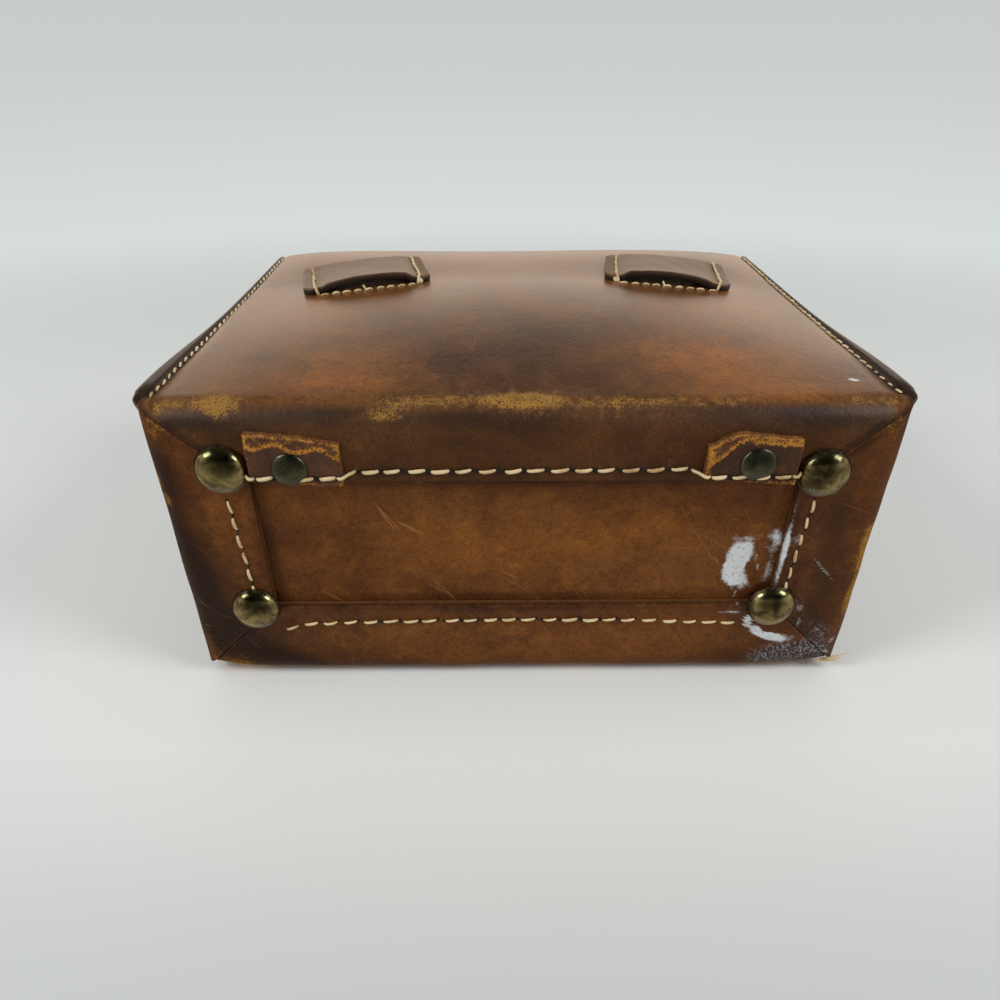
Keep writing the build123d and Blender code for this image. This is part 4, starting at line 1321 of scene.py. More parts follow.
class Stitching:
    """Collects threads and needle holes, and makes one piece of them."""

    SIDES = 8
    RINGS = 9
    # Numbers of the two materials
    THREAD = 0
    HOLE = 1

    def __init__(self, name: str, look: Finishes, seed: int) -> None:
        """Start empty, with a seeded source of small differences."""
        self.name = name
        self.look = look
        self.random = np.random.default_rng(seed)
        self.points: list[Array] = []
        self.faces: list[list[int]] = []
        self.kinds: list[int] = []
        self.low: list[Array] = []
        self.count = 0

    def tube(self, spine: Array, normal: Array, thick: Array, low: Array, flat: float = 0.85) -> None:
        """A closed thread along a line: elliptic rings, thick across and flat times that along the normal.

        Args:
            spine: the line's points in mm.
            normal: unit normals of the leather along it.
            thick: half the thread's width at each point.
            low: how much painted shade each point gets; the side towards the leather gets more.
            flat: the ellipse's height to width.
        """
        along = np.gradient(spine, axis=0)
        along /= np.linalg.norm(along, axis=1, keepdims=True)
        across = np.cross(normal, along)
        across /= np.linalg.norm(across, axis=1, keepdims=True)
        up = np.cross(along, across)
        angle = np.linspace(0, 2 * np.pi, self.SIDES, endpoint=False)
        ring = across[:, None] * np.cos(angle)[None, :, None]
        ring = ring + up[:, None] * (np.sin(angle) * flat)[None, :, None]
        points = (spine[:, None] + ring * thick[:, None, None]).reshape(-1, 3)
        rings = len(spine)
        index = np.arange(rings * self.SIDES).reshape(rings, self.SIDES)
        after = np.roll(index, -1, axis=1)
        first, last = rings * self.SIDES, rings * self.SIDES + 1
        start = np.stack([index[0], after[0], np.full(self.SIDES, first)], -1)
        end = np.stack([after[-1], index[-1], np.full(self.SIDES, last)], -1)
        self.points.append(np.concatenate([points, spine[:1], spine[-1:]]))
        # Painted shade: the thread's side towards the leather is darker
        side_low = np.clip(low[:, None] + 0.5 * np.clip(-np.sin(angle), 0, 1)[None], 0, 1)
        self.low.append(np.concatenate([side_low.reshape(-1), [1.0, 1.0]]))
        for part in (ring_quads(index), start, end):
            self.faces += (part + self.count).tolist()
        self.kinds += [self.THREAD] * ((rings + 1) * self.SIDES)
        self.count += len(points) + 2

    def hole(self, middle: Array, along: Array, normal: Array, radius: float) -> None:
        """A needle slit: a flat oval cup sunk into the leather, closed below and above, near black with
        painted shade.

        Args:
            middle: its place in mm.
            along: the seam's direction.
            normal: the leather's normal.
            radius: half its width.
        """
        across = np.cross(normal, along)
        angle = np.linspace(0, 2 * np.pi, self.SIDES, endpoint=False)
        oval = across * np.cos(angle)[:, None] + along * (1.5 * np.sin(angle))[:, None]
        outer = middle + oval * radius * 1.1 + normal * 0.05
        under = middle + oval * radius * 0.7 - normal * 0.5
        ring = np.arange(self.SIDES)
        after = np.roll(ring, -1)
        top, bottom = 2 * self.SIDES, 2 * self.SIDES + 1
        cup = np.stack([ring, ring + self.SIDES, after + self.SIDES, after], -1)
        lid = np.stack([ring, after, np.full(self.SIDES, top)], -1)
        floor = np.stack([after + self.SIDES, ring + self.SIDES, np.full(self.SIDES, bottom)], -1)
        self.points.append(np.concatenate([outer, under, [middle + normal * 0.06], [middle - normal * 0.5]]))
        self.low.append(np.ones(2 * self.SIDES + 2))
        for part in (cup, lid, floor):
            self.faces += (part + self.count).tolist()
        self.kinds += [self.HOLE] * (3 * self.SIDES)
        self.count += 2 * self.SIDES + 2

    def row(self, seam: Seam, line: Array, normals: Array) -> None:
        """Stitches along a line on the leather.

        Each stitch rises from its hole, is thickest in its middle and dips into the next hole: its height is
        radius * arch * (1 - 2.2 |t|^4) and it slants across the line by lean * sin(t pi / 2), t from -1 to 1.

        Args:
            seam: the row's sizes.
            line: points of the line, in mm.
            normals: the leather's unit normals there.
        """
        step = np.linalg.norm(np.diff(line, axis=0), axis=1)
        length = np.concatenate([[0], np.cumsum(step)])
        number = max(int(round(length[-1] / seam.pitch)), 1)
        pitch = length[-1] / number

        def at(values: Array, where: Array) -> Array:
            """Values along the line at given lengths."""
            return np.stack([np.interp(where, length, values[:, k]) for k in range(3)], -1)

        t = np.linspace(-1, 1, self.RINGS)
        for k in range(number):
            middle = (k + 0.5) * pitch + self.random.normal(0, 0.04 * pitch)
            half = pitch * seam.share / 2 * self.random.uniform(0.88, 1.06)
            spine = at(line, middle + t * half)
            normal = at(normals, middle + t * half)
            normal /= np.linalg.norm(normal, axis=1, keepdims=True)
            along = np.gradient(spine, axis=0)
            along /= np.linalg.norm(along, axis=1, keepdims=True)
            across = np.cross(normal, along)
            lift = seam.radius * seam.arch * (1 - 2.2 * np.abs(t) ** 4)
            swerve = seam.lean * self.random.uniform(0.6, 1.4) * np.sin(t * np.pi / 2)
            swerve = swerve + self.random.normal(0, 0.08)
            bow = 0.12 * self.random.normal() * (1 - t * t)
            curved = spine + normal * lift[:, None] + across * (swerve + bow)[:, None]
            thick = seam.radius * (1 - 0.45 * np.abs(t) ** 2.4) * self.random.uniform(0.86, 1.12)
            # Painted shade grows towards both ends of a stitch, where it dips into its holes
            self.tube(curved, normal, thick, np.abs(t) ** 3)
            for end in (0, -1):
                place = spine[end] + across[end] * swerve[end]
                self.hole(place, along[end], normal[end], seam.radius)

    def piece(self) -> bpy.types.Object:
        """Make the piece, with thread and hole materials, on the case's body."""
        # The mark low holds the thread's painted shade
        marks = {"low": np.concatenate(self.low)}
        piece = make_mesh(self.name, np.concatenate(self.points), self.faces, marks)
        settle(piece, Body.CASE, "lining", self.look.thread)
        piece.data.materials.append(self.look.hole)
        piece.data.polygons.foreach_set("material_index", np.array(self.kinds, dtype=np.int32))
        return piece


@dataclass
class Seams:
    """The rows of stitches of the base and of the back's sides, with places x, y from the case's middle."""

    ROWS = (
        (Seam(6.66, 0.82, 0.60, 0.22), ((47.4, 27.8), (-45.9, 28.2))),
        (Seam(6.0, 0.80, 0.46, 0.16), ((85.2, 19.5), (83.4, -17.5))),
        (Seam(6.0, 0.80, 0.46, 0.16), ((-83.2, 18.5), (-81.2, -17.5))),
        (Seam(6.3, 0.82, 0.52, 0.22),
         ((77, -30.5), (70, -28.4), (60, -27.6), (0, -26.8), (-40, -27.4), (-69, -28.7))),
    )
    s: CaseSizes
    lift: float = 0.15

    def base_line(self, corners: Sequence[tuple[float, float]], lift: float = 0.0) -> tuple[Array, Array]:
        """A seam under the base through places x, y, with its normals down.

        Args:
            corners: the places, y from the middle of the case.
            lift: how far below the flanges the seam lies.

        Returns:
            The line's points and normals.
        """
        path = np.array(corners, float)
        step = np.concatenate([[0], np.cumsum(np.linalg.norm(np.diff(path, axis=0), axis=1))])
        t = np.linspace(0, step[-1], max(int(step[-1] / 1.5), 8))
        x, y = np.interp(t, step, path[:, 0]), np.interp(t, step, path[:, 1])
        line = np.stack([x, y + self.s.middle_y, np.full_like(x, self.s.base_under + self.lift - lift)], -1)
        return line, np.tile([0.0, 0.0, -1.0], (len(x), 1))

    def back_line(self, inset: float, side: int, low: float, high: float) -> tuple[Array, Array]:
        """A seam up the back, which follows the roll at the base.

        Args:
            inset: its distance from the sheet's side in mm.
            side: 1 for +X, -1 for -X.
            low: the level where it starts.
            high: the level where it ends.

        Returns:
            The line's points and normals.
        """
        s = self.s
        z = np.linspace(low, high, 160)
        x = np.full_like(z, side * (s.sheet_half - inset)) + side * 1.2 * smooth(70, 8, z)
        turn = np.arccos(np.clip((s.base_under + s.base_roll - z) / s.base_roll, 0, 1))
        y = s.back_y + s.crown(x, z) - 0.35 - s.base_roll * (1 - np.sin(turn))
        return np.stack([x, y, z], -1), np.stack([x * 0, np.sin(turn), -np.cos(turn)], -1)

    def fray(self, work: Stitching) -> None:
        """The seam's frayed end at the base's lower corner: seven thin crooked threads fanned out."""
        s, random = self.s, np.random.default_rng(5)
        t = np.linspace(0, 1, 8)
        for spread in np.linspace(-1, 1, 7):
            reach = 9.0 + random.normal()
            x = -98.5 - reach * t
            y = -46.8 + s.middle_y + (1.6 * spread + 1.0) * t + 0.3 * random.normal(size=8) * t
            z = s.base_under + 1.2 + 0.8 * random.normal() * t + 0.3 * random.normal(size=8) * t
            spine = np.stack([x, y, z], -1)
            work.tube(spine, np.tile([0.0, -0.6, -0.8], (8, 1)), 0.30 * (1 - 0.6 * t), np.full(8, 0.15))

    def build(self, look: Finishes) -> None:
        """Make the seams of the base and of the back's sides."""
        s = self.s
        base = Stitching("base_seams", look, 30)
        for seam, corners in self.ROWS:
            base.row(seam, *self.base_line(corners))
        self.fray(base)
        base.piece()
        low, high = s.base_under + 3.2, s.hinge_z - 2
        sides = Stitching("back_seams", look, 50)
        for side in (1, -1):
            sides.row(Seam(4.3, 0.86, 0.40, 0.30), *self.back_line(s.seam_inset, side, low, high))
        sides.piece()


@dataclass
class StrapTab:
    """A cut-off strap end on the base: a thick tab with raw edges, sewn and riveted.

    The cut is rough: its far edge is worn through to ochre suede in a scalloped band, and one corner of the
    left tab is clipped.
    """

    # The thread that dips over a side: its distances past the side, in mm
    OVER = np.array([-1.4, -0.6, 0.1, 0.6, 1.5, 2.6, 3.2])
    s: CaseSizes
    side: int
    seam_y: float = 27.3
    edge: float = 0.4
    slant: float = 2.0

    def build(self, look: Finishes) -> None:
        """Make the tab on a grid between its four corners, with wavy raw edges."""
        s, side = self.s, self.side
        word = "right" if side > 0 else "left"
        low, high = s.corners(f"{word}_strap_tab")
        u, row_distance = stations(high[0] - low[0], 0.7, self.edge)
        v, column_distance = stations(high[1] - low[1] - self.slant, 0.6, self.edge)
        across, along = np.meshgrid(u / u[-1], v / v[-1], indexing="ij")
        x = low[0] + across * (high[0] - low[0])
        near = low[1] + self.slant * across
        far = high[1] - self.slant * (1 - across)
        # The left tab's corner next to the middle of the case is clipped
        clip = 4.2 * smooth(0.66, 1.0, across) ** 1.2 if side < 0 else smooth(0.0, 0.5, 0.5 - across)
        far = far - clip
        place = np.stack([x, x * 0, x * 0], -1)
        far = far + 0.25 * waves(place, 7, 44 + side)
        near = near + 0.2 * waves(place, 6, 47 + side)
        y = near + along * (far - near)
        points = np.stack([x, y, np.full_like(x, low[2])], -1)
        from_far, from_near = far - y, y - near
        from_seam = np.abs(y - s.middle_y - self.seam_y)
        sink = 0.35 * bell(from_seam, 1.0)
        worn_lip = 0.55 * smooth(3.4, 0.6, from_far)
        points[..., 2] += sink + worn_lip + 0.10 * waves(points, 7, 42 + side)
        width = high[0] - low[0]
        scallop = 3.6 + 0.7 * np.sin(across * 15 + side) + 0.5 * waves(place, 4, 52 + side)
        if side < 0:
            scallop = 2.2 + 3.4 * smooth(0.60, 0.95, across) + 0.5 * waves(place, 3, 52)
        rim = 0.6 * bell(from_far - scallop + 0.6, 0.8) + 0.4 * bell(from_far, 0.5)
        band = 0.46 * smooth(scallop + 0.4, scallop - 0.6, from_far) + rim
        below = smooth(s.middle_y + self.seam_y - 0.6, s.middle_y + self.seam_y - 1.5, y)
        below = (0.62 + 0.2 * waves(place, 9, 33)) * below
        sides = bell(np.minimum(across, 1 - across) * width, 0.9 if side > 0 else 1.2)
        inner = bell((1 - across) * width, 2.0) * (1 if side < 0 else 0.2)
        marks = {
            "worn": np.clip(band + below + 0.45 * sides + 0.5 * inner, 0, 1.1),
            "dark": 0.35 * bell(from_near, 0.8) * (side > 0),
        }
        distances = (row_distance, column_distance)
        name = f"{word}_tab_leather"
        piece = thick_sheet(name, points, s.leather, self.edge, *distances, marks, flip=True)
        settle(piece, Body.CASE, "strap_leather", look.strap, f"{word}_strap_tab")
        self.sew(look, word, low[0], high[0])

    def sew(self, look: Finishes, word: str, low_x: float, high_x: float) -> None:
        """Sew the tab: a row over its face whose end stitches dip over its sides down to the base.

        Args:
            look: the finishes.
            word: the side's name.
            low_x: the tab's lower side, in mm.
            high_x: its upper side.
        """
        work = Stitching(f"{word}_tab_seam", look, 60 + self.side)
        seams, top = Seams(self.s), self.s.leather
        ends = ((low_x + 1.2, self.seam_y), (high_x - 1.2, self.seam_y + 0.3))
        work.row(Seam(5.9, 0.82, 0.6, 0.25), *seams.base_line(ends, lift=top + 0.1))
        for x, way in ((low_x, -1), (high_x, 1)):
            dx = way * self.OVER
            lift = np.array([top - 0.4, top + 0.55, top + 0.45, top - 0.2, 1.4, 0.5, -0.4])
            y = self.seam_y + 0.15 + 0.5 * np.linspace(0, 1, 7)
            spine = np.stack([x + dx, y + self.s.middle_y, self.s.base_under - lift], -1)
            # Painted shade at both ends of this thread, where it goes into the leather
            grime_and_shade = np.linspace(-1, 1, 7) ** 4
            work.tube(spine, np.tile([0.0, -0.2, -0.98], (7, 1)), np.full(7, 0.52), grime_and_shade)
        work.piece()


@dataclass
class StrapLoop:
    """A strap loop on the back, pressed flat with use: sewn down at its ends, slack between them.

    Its near edge, towards the base, gapes more than its far edge. It was sewn on askew: turn is its tilt.
    """

    # The long thread over a near corner: its places across the loop's edge, in mm
    OVER = np.array([2.4, 1.5, 0.5, -0.35, -0.75, -1.0, -1.25])

    s: CaseSizes
    side: int
    thick: float = 2.4
    near_gap: float = 2.7
    far_gap: float = 0.8
    half: float = 23.6
    seam_inset: float = 4.0
    corner: float = 5.0
    edge: float = 0.5
    word: str = field(init=False)
    centre: Array = field(init=False)
    half_b: float = field(init=False)
    turn: float = field(init=False)

    def __post_init__(self) -> None:
        """Read the solid's place."""
        self.word = "right" if self.side > 0 else "left"
        low, high = self.s.corners(f"{self.word}_strap_loop")
        drift = (-3.6, 0.0) if self.side > 0 else (3.6, 3.5)
        self.centre = np.array([(low[0] + high[0]) / 2 + drift[0], (low[2] + high[2]) / 2 + drift[1]])
        self.half_b = (high[2] - low[2]) / 2 - 0.8
        self.turn = np.radians(-12.5 if self.side > 0 else 8.0)

    def place(self, a: Array, b: Array, height: Array) -> Array:
        """A point of the loop: a place on the bulging back, moved out along its normal by a height.

        Args:
            a: places along the strap's length.
            b: places across it, from the near edge up.
            height: distances above the back.

        Returns:
            Points in mm.
        """
        s = self.s
        a, b = np.broadcast_arrays(np.asarray(a, float), np.asarray(b, float))
        x = self.centre[0] + a * np.cos(self.turn) - b * np.sin(self.turn)
        z = self.centre[1] + a * np.sin(self.turn) + b * np.cos(self.turn)
        step = 0.5
        rise_x = (s.crown(x + step, z) - s.crown(x - step, z)) / (2 * step)
        rise_z = (s.crown(x, z + step) - s.crown(x, z - step)) / (2 * step)
        normal = np.stack([-rise_x, np.ones_like(rise_x), -rise_z], -1)
        normal /= np.linalg.norm(normal, axis=-1, keepdims=True)
        points = np.stack([x, s.back_y + s.crown(x, z), z], -1)
        return points + normal * np.asarray(height, float)[..., None]

    def slack(self, a: Array, b: Array) -> Array:
        """How far the strap stands off the back: an arch along it, lower towards the far edge.

        Args:
            a: places along the strap's length.
            b: places across it.

        Returns:
            Heights in mm.
        """
        knee = self.half - self.seam_inset - 0.6
        arch = np.clip(1 - (np.abs(a + 2.0 * self.side) / (knee + 1.5)) ** 2.6, 0, 1)
        arch = arch * smooth(knee, knee - 5, np.abs(a))
        share = np.clip((b + self.half_b) / (2 * self.half_b), 0, 1)
        return arch * (self.near_gap + (self.far_gap - self.near_gap) * share**0.8)

    def build(self, look: Finishes) -> None:
        """Make the loop, the stitches over its ends and the row along its near side."""
        u, row_distance = stations(2 * self.half, 0.8, self.edge)
        v, column_distance = stations(2 * self.half_b, 1.1, self.edge)
        a, share = np.meshgrid(u - self.half, (v - self.half_b) / self.half_b, indexing="ij")
        from_end = self.half - np.abs(a)
        past = np.clip(self.corner - from_end, 0, self.corner * 0.96)
        b = share * (self.half_b - self.corner + np.sqrt(self.corner**2 - past**2))
        b = b + 0.25 * waves(np.stack([a, a * 0, a * 0], -1), 17, 75 + self.side) * np.abs(share)
        height = self.thick + self.slack(a, b) - 0.05
        points = self.place(a, b, height)
        points = points + 0.1 * waves(points, 12, 70 + self.side)[..., None] * np.array([0.0, 1.0, 0.0])
        strip = smooth(self.seam_inset + 0.2, self.seam_inset - 1.0, from_end)
        marks = {
            "worn": strip * np.where(a * self.side < 0, 0.55, 0.2),
            "dark": 0.3 * bell(self.half_b - np.abs(b), 1.2),
            "tan": np.full_like(a, 0.2),
        }
        distances = (row_distance, column_distance)
        name = f"{self.word}_loop_leather"
        piece = thick_sheet(name, points, self.thick, self.edge, *distances, marks, flip=True)
        settle(piece, Body.CASE, "strap_leather", look.loop, f"{self.word}_strap_loop")
        self.sew(look)

    def sew(self, look: Finishes) -> None:
        """Sew both ends, with a long thread over each near corner, a row below the near edge, and a knot."""
        work = Stitching(f"{self.word}_loop_seams", look, 80 + self.side)
        seam = Seam(3.7, 0.84, 0.46, 0.3)
        reach = self.half - self.seam_inset
        for end in (-1, 1):
            t = np.linspace(self.half_b - 2.2, -self.half_b + 2.6, 40)
            line = self.place(np.full_like(t, end * reach), t, np.full_like(t, self.thick - 0.05))
            work.row(seam, line, np.tile([0.0, 1.0, 0.0], (len(t), 1)))
            # The long thread: over the near edge and down to the back, with painted shade growing towards its
            # end
            height = np.array([-0.3, 0.35, 0.4, -0.1, 1.4, 0.6, -0.3])
            height[:4] += self.thick
            drop = self.place(end * (reach - np.linspace(0, 1.4, 7)), self.OVER - self.half_b, height)
            normal = np.tile([0.0, 0.8, -0.6], (7, 1))
            work.tube(drop, normal, np.full(7, 0.5), np.linspace(0, 1, 7) ** 3)
        t = np.linspace(-reach + 1.2, reach - 1.2, 60)
        line = self.place(t, np.full_like(t, -self.half_b - 1.5), np.full_like(t, -0.05))
        work.row(Seam(3.9, 0.78, 0.46, 0.25), line, np.tile([0.0, 1.0, 0.0], (len(t), 1)))
        # The knot at the inner near corner, and a short tail in the middle of the row
        t = np.linspace(-1, 1, 7)
        knot = self.place(-self.side * (reach - 0.2) + t * 0.5, -self.half_b - 0.3 + t * 0.9, 1.0 + 0.7 * t)
        round_knot = np.sqrt(np.clip(1.05 - t * t, 0.05, 1))
        work.tube(knot, np.tile([0.0, 0.6, -0.8], (7, 1)), round_knot, np.full(7, 0.2), 0.8)
        tail = self.place(1.5 + t * 0.4, -self.half_b - 0.9 + t * 0.3, 0.9 + 0.7 * t)
        work.tube(tail, np.tile([0.0, 0.0, -1.0], (7, 1)), np.full(7, 0.38), np.zeros(7))
        work.piece()


@dataclass
class Skirts:
    """The lid's two side skirts: flat sheets whose lower rear corner is rounded off."""

    s: CaseSizes
    edge: float = 0.8
    step: float = 1.8
    corner: float = 14.0
    slack: float = 0.2

    def build(self, look: Finishes) -> None:
        """Make both skirts on grids between their straight top and their lower edge."""
        for side, word in ((1, "right"), (-1, "left")):
            self.skirt(side, word, look)

    def skirt(self, side: int, word: str, look: Finishes) -> None:
        """Make one skirt.

        Args:
            side: 1 for +X, -1 for -X.
            word: the side's name.
            look: the finishes.
        """
        low, high = self.s.corners(f"lid_{word}_skirt")
        u, row_distance = stations(high[1] - low[1], self.step, self.edge)
        v, column_distance = stations(high[2] - low[2], self.step, self.edge)
        along, up = np.meshgrid(u / u[-1], v / v[-1], indexing="ij")
        y = low[1] + along * (high[1] - low[1])
        past = np.clip(y - (high[1] - self.corner), 0, self.corner) / self.corner
        bottom = low[2] + self.corner * (1 - np.sqrt(np.maximum(1 - past**2 * 0.98, 0)))
        z = bottom + up * (high[2] - 0.1 - bottom)
        points = np.stack([np.full_like(y, high[0] if side > 0 else low[0]), y, z], -1)
        uneven = 0.12 * waves(points, 30, 90 + side) * smooth(0, 0.2, up) * (1 - up)
        points[..., 0] += side * (uneven - self.slack / 2)
        rim = bell(up * v[-1], 2.0)
        marks = {"worn": rim * 0.4, "dark": rim * 0.5 + 0.2}
        distances = (row_distance, column_distance)
        thick = self.s.leather - self.slack
        name = f"{word}_skirt_leather"
        piece = thick_sheet(name, points, thick, self.edge, *distances, marks, flip=side < 0)
        settle(piece, Body.LID, "saddle_leather", look.wall, f"lid_{word}_skirt")


@dataclass
class Dome:
    """A dome-headed fitting: a turned cap and its shank, with sizes in mm.

    The cap's section is a quarter ellipse from its crown to a thin turned-in rim.
    """

    radius: float
    rise: float
    shank: float
    sides: int = 48
    steps: int = 24

    def section(self, end: float) -> tuple[Array, Array]:
        """The half section, from the cap's lowest point to the shank's other end.

        Args:
            end: the shank's length from that point.

        Returns:
            Radii and heights.
        """
        t = np.linspace(0.0, 1, self.steps) * np.pi / 2
        r = [self.radius * 0.985, self.shank * 1.1, self.shank, self.shank, 0.0]
        z = [self.rise, self.rise, self.rise, end, end]
        cap = self.rise * 0.94 * (1 - np.cos(t))
        return np.concatenate([self.radius * np.sin(t), r]), np.concatenate([cap, z])

    def build(
        self, name: str, places: Sequence[tuple[float, float]], top: float, end: float
    ) -> bpy.types.Object:
        """Spin the section about each place.

        Args:
            name: the piece's name.
            places: middles x, y of the caps, in mm.
            top: level of the caps' lowest points.
            end: level of the shanks' other ends.

        Returns:
            The piece.
        """
        r, z = self.section(end - top)
        angle = np.linspace(0, 2 * np.pi, self.sides, endpoint=False)
        parts, crust, faces, offset = [], [], [], 0
        for x0, y0 in places:
            x, y = x0 + r[1:-1, None] * np.cos(angle), y0 + r[1:-1, None] * np.sin(angle)
            ring = np.stack([x, y, np.broadcast_to(top + z[1:-1, None], x.shape)], -1).reshape(-1, 3)
            parts.append(np.concatenate([ring, [[x0, y0, top + z[0]], [x0, y0, top + z[-1]]]]))
            # Grime on the side towards the front, and round the rim
            low = (y0 - ring[:, 1]) / self.radius
            out = np.hypot(ring[:, 0] - x0, ring[:, 1] - y0) / self.radius
            grime_and_shade = smooth(0.25, 0.75, low) * 0.9 + 0.5 * smooth(0.9, 1.0, out)
            crust.append(np.concatenate([grime_and_shade, [0.0, 0.0]]))
            index = offset + np.arange(len(ring)).reshape(-1, self.sides)
            after = np.roll(index, -1, axis=1)
            last = offset + len(ring)
            faces += ring_quads(index)[:, ::-1].tolist()
            faces += np.stack([after[0], index[0], np.full(self.sides, last)], -1).tolist()
            faces += np.stack([index[-1], after[-1], np.full(self.sides, last + 1)], -1).tolist()
            offset += len(ring) + 2
        return make_mesh(name, np.concatenate(parts), faces, {"grime_and_shade": np.concatenate(crust)})


def dress(node: str, material: bpy.types.Material) -> None:
    """Give a solid a material in all its slots."""
    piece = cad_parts[node]
    if not piece.data.materials:
        piece.data.materials.append(material)
    for slot in piece.material_slots:
        slot.material = material


@dataclass
class Fittings:
    """Brass: dome feet, tab rivets and the clasp. Points less than apart mm from each other are one."""

    CLASP = (
        "clasp_base_plate", "clasp_plate_pins", "clasp_strike_plate", "strike_plate_pins", "clasp_washer",
        "turn_button", "foot_washers", "strap_tab_washers",
    )
    s: CaseSizes
    foot: Dome = field(init=False)
    cap: Dome = field(default_factory=lambda: Dome(5.0, 1.6, 1.5))
    apart: float = 20.0

    def __post_init__(self) -> None:
        """Size the feet: 15 mm wide, and as high as the base's distance from the table."""
        self.foot = Dome(7.5, self.s.base_under - 0.1, 2.0)

    def middles(self, node: str) -> list[tuple[float, float]]:
        """Middles x, y in mm of a node's separate solids, found from gaps between its points."""
        co = np.array([v.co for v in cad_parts[node].data.vertices])[:, :2] / MM
        found: list[Array] = []
        for point in co:
            for group in found:
                if np.linalg.norm(group.mean(0) - point) < self.apart:
                    break
            else:
                found.append(co[np.linalg.norm(co - point, axis=1) < self.apart])
        return [tuple((g.min(0) + g.max(0)) / 2) for g in found]

    def build(self, look: Finishes) -> None:
        """Make the feet and rivet caps, and dress the solids of the clasp and the washers."""
        rows = (
            ("dome_feet", "base_feet", self.foot, "antique_brass", look.brass),
            ("tab_rivets", "strap_tab_rivets", self.cap, "dark_rivet", look.rivet),
        )
        for name, node, dome, slot, material in rows:
            low, high = self.s.corners(node)
            piece = dome.build(name, self.middles(node), low[2], high[2])
            settle(piece, Body.CASE, slot, material, node)
        for node in self.CLASP:
            dress(node, look.clasp)


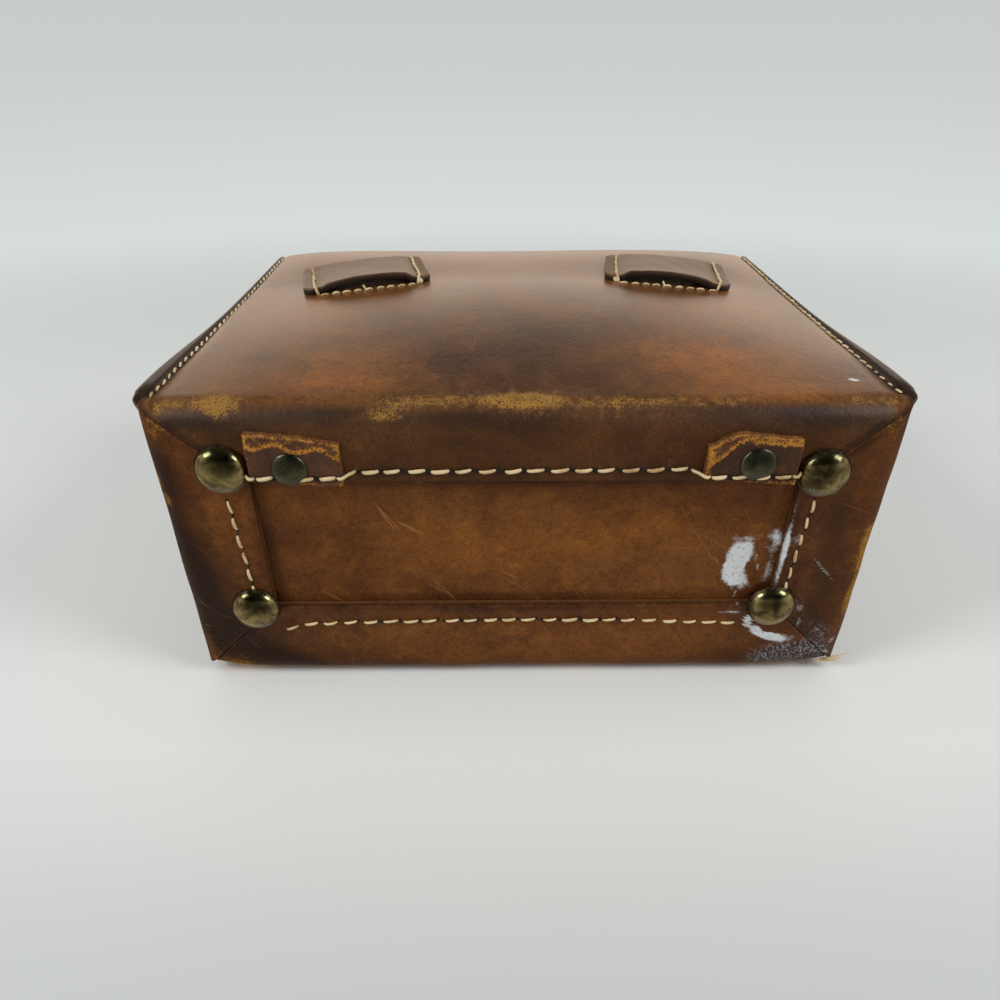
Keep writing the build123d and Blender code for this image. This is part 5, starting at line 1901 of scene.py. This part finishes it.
@dataclass
class Studio:
    """Camera, lamps, pale floors and the world.

    The camera's place is in mm from the case's middle. A lamp: name, place in metres, side, watts, mirrored.
    """

    LAMPS = (
        ("lamp_left", (0.90, 0.72, -0.33), 0.40, 5.6, True),
        ("lamp_right", (-0.90, 0.72, -0.33), 0.40, 5.2, True),
        ("lamp_fill", (0.0, 0.10, -1.40), 1.0, 6.4, False),
        ("lamp_front", (0.35, -0.95, 0.85), 0.7, 7.0, False),
    )
    sizes: CaseSizes
    lens: float = 26.08
    sensor: float = 36.0
    camera_place: tuple[float, float, float] = (8.95, 129.1, -170.5)
    forward: tuple[float, float, float] = (-0.0076, -0.5337, 0.8456)
    right: tuple[float, float, float] = (-0.99996, 0.0, -0.0090)

    def build(self) -> None:
        """Make them: two small lamps beside the photographer, a wide one behind, and one over the front."""
        self.camera()
        for lamp in self.LAMPS:
            self.lamp(*lamp)
        self.world()
        self.floors()

    def camera(self) -> None:
        """The photograph's view: the case lies on its front, seen from its base."""
        data = bpy.data.cameras.new("photo_camera")
        data.lens, data.sensor_width, data.clip_start = self.lens, self.sensor, 0.01
        item = bpy.data.objects.new("photo_camera", data)
        bpy.context.scene.collection.objects.link(item)
        forward, right = Vector(self.forward).normalized(), Vector(self.right).normalized()
        up = right.cross(forward).normalized()
        x, y, z = self.camera_place
        place = Vector((x, y + self.sizes.middle_y, z)) * MM
        turned = Matrix((right, up, -forward)).transposed()
        item.matrix_world = Matrix.LocRotScale(place, turned, None)
        bpy.context.scene.camera = item

    def lamp(
        self, name: str, place: tuple[float, float, float], size: float, power: float, mirrored: bool
    ) -> None:
        """A square soft lamp that faces the middle of the case.

        Args:
            name: the lamp's name.
            place: where it hangs, in metres.
            size: its side.
            power: its power in watts.
            mirrored: whether glossy surfaces show it.
        """
        data = bpy.data.lights.new(name, "AREA")
        data.size, data.energy = size, power
        item = bpy.data.objects.new(name, data)
        bpy.context.scene.collection.objects.link(item)
        item.location = place
        aim = Vector((0, 0, 60 * MM)) - Vector(place)
        item.rotation_euler = aim.to_track_quat("-Z", "Y").to_euler()
        item.visible_glossy = mirrored

    def world(self) -> None:
        """A pale room: soft light from the sky side, and a plain pale background for camera and gloss.

        The light grows by a smooth step towards the sky, between +Y and +Z. The camera sees a pale grey that
        darkens a little with height. Glossy surfaces mirror a warmer room: bright above the horizon, dim
        below it, high up and behind the photographer.
        """
        t = Tree(bpy.data.worlds.new("pale_room"), "OutputWorld")
        bpy.context.scene.world = t.owner
        way = t.add("TexCoord", out="Generated")
        sky = t.add("VectorMath", {0: way, 1: (0.0, 0.6, 0.8)}, out="Value", operation="DOT_PRODUCT")
        strength = t.add("step", sky, -0.3, 0.9, 0.26, 0.72)
        light = t.add("Background", {"Color": (1.0, 0.985, 0.965, 1.0), "Strength": strength})
        height = t.add("SeparateXYZ", {0: way}, out="Y")
        pale = t.add("mix", t.add("step", height, -0.25, 0.05), "#D9DFDE", "#C9CBCC")
        behind = t.add("VectorMath", {0: way, 1: (0.0, 0.29, -0.957)}, out="Value", operation="DOT_PRODUCT")
        dim = t.add("step", behind, 0.3, 0.95, 1.0, 0.14)
        dim = t.add("times", dim, t.add("step", height, 0.22, 0.44, 1.9, 0.08))
        dim = t.add("times", dim, t.add("step", height, -0.05, 0.20, 0.42, 1.0))
        path = t.add("LightPath").node.outputs
        camera = path["Is Camera Ray"]
        mirrored = t.add("most", path["Is Glossy Ray"], path["Is Transmission Ray"])
        dim = t.add("sum", camera, t.add("times", dim, t.add("less", 1.0, camera)))
        tone = t.add("mix", camera, "#F3DFCB", pale)
        seen = t.add("Background", {"Color": tone, "Strength": dim})
        t.finish(t.add("MixShader", {0: t.add("most", camera, mirrored), 1: light, 2: seen}))

    def floors(self) -> None:
        """Two pale one-way floors that fade out: under the feet, and under the front for the photograph."""
        s = self.sizes
        # Paper colours far, near and front: painted light makes them lighter near the case, and painted shade
        # makes the photo floor darker at the front
        standing = self.floor_material("pale_paper_standing_floor", "#D4D8D6", "#E4E7E5", "#D4D8D6")
        lying = self.floor_material("pale_paper_photo_floor", "#DBDFDD", "#EFF1EF", "#C6CAC8")
        self.floor("standing_floor", Vector((0, 0, 0)), Vector((1, 0, 0)), Vector((0, 1, 0)), standing)
        touch = Vector((0, (s.front_y - FrontLeather.full - 0.3) * MM, 12 * MM))
        clasp = s.corners("turn_button")[0]
        far = Vector((0, (clasp[1] - 0.3) * MM, clasp[2] * MM + 0.005))
        slope = (far - touch).normalized()
        self.floor("photo_floor", touch + slope * 0.06, slope, Vector((1, 0, 0)), lying)

    def floor(
        self, name: str, middle: Vector, first: Vector, second: Vector, material: bpy.types.Material
    ) -> None:
        """A flat grid of 2.4 m in the plane of two directions, whose normal is their cross product.

        Args:
            name: the floor's name.
            middle: its middle, in metres.
            first: the first direction; its mark named front begins behind the middle along it.
            second: the second direction.
            material: its paper.
        """
        count, half = 97, 1.2
        t = np.linspace(-half, half, count)
        a, b = np.meshgrid(t, t, indexing="ij")
        points = np.array(middle) + a[..., None] * np.array(first) + b[..., None] * np.array(second)
        fade = np.clip(1 - np.sqrt(a**2 + b**2) / half, 0, 1)
        marks = {"fade": fade.reshape(-1), "front": smooth(-0.09, -0.19, a).reshape(-1)}
        piece = make_mesh(name, points.reshape(-1, 3) / MM, grid_quads(count, count).tolist(), marks)
        piece.data.materials.append(material)
        piece.visible_diffuse = False
        piece.visible_glossy = False
        piece.visible_transmission = False
        piece.visible_shadow = False

    def floor_material(self, name: str, far: str, near: str, front: str) -> bpy.types.Material:
        """Matt pale paper, seen only from above and fading out at its rim.

        Args:
            name: the material's name.
            far: its colour away from the case.
            near: its colour under the case, lighter as painted light.
            front: its colour where the mark named front is 1, darker on the photo floor as painted shade.

        Returns:
            The material.
        """
        t = Tree.of(name)
        back = t.add("NewGeometry", out="Backfacing")
        fade = t.add("mark", attribute_name="fade")
        # Painted light and shade: lighter near the case, against the case's shade on it, and darker where the
        # mark named front is 1, against the lamps' stronger light there
        colour = t.add("mix", t.add("step", fade, 0.80, 0.94), far, near)
        colour = t.add("mix", t.add("mark", attribute_name="front"), colour, front)
        paper = t.add("BsdfDiffuse", {"Color": colour})
        shown = t.add("times", t.add("less", 1.0, back), t.add("step", fade, 0.05, 0.75))
        return t.finish(t.add("MixShader", {0: shown, 1: t.add("BsdfTransparent"), 2: paper}))


def main() -> None:
    """Build and dress every piece."""
    logging.basicConfig(level=logging.INFO, format="%(message)s")
    bpy.context.scene.view_settings.view_transform = "Standard"
    sizes = CaseSizes()
    look = Finishes()
    LOG.info("case middle %.2f, half depth %.2f, rim %.1f", sizes.middle_y, sizes.half_depth, sizes.rim)
    Studio(sizes).build()
    WrapLeather(sizes).build(look)
    LOG.info("wrap leather built")
    FrontLeather(sizes).build(look)
    for side in (1, -1):
        SideLeather(sizes, side).build(look)
        StrapTab(sizes, side).build(look)
        StrapLoop(sizes, side).build(look)
    BaseLeather(sizes).build(look)
    Skirts(sizes).build(look)
    Seams(sizes).build(look)
    LOG.info("leather and seams built")
    Fittings(sizes).build(look)
    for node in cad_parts:
        if node.endswith("_board"):
            dress(node, look.board)
        elif node.endswith("_lining"):
            dress(node, look.lining)
    LOG.info("fittings dressed")


if __name__ == "__main__":
    main()
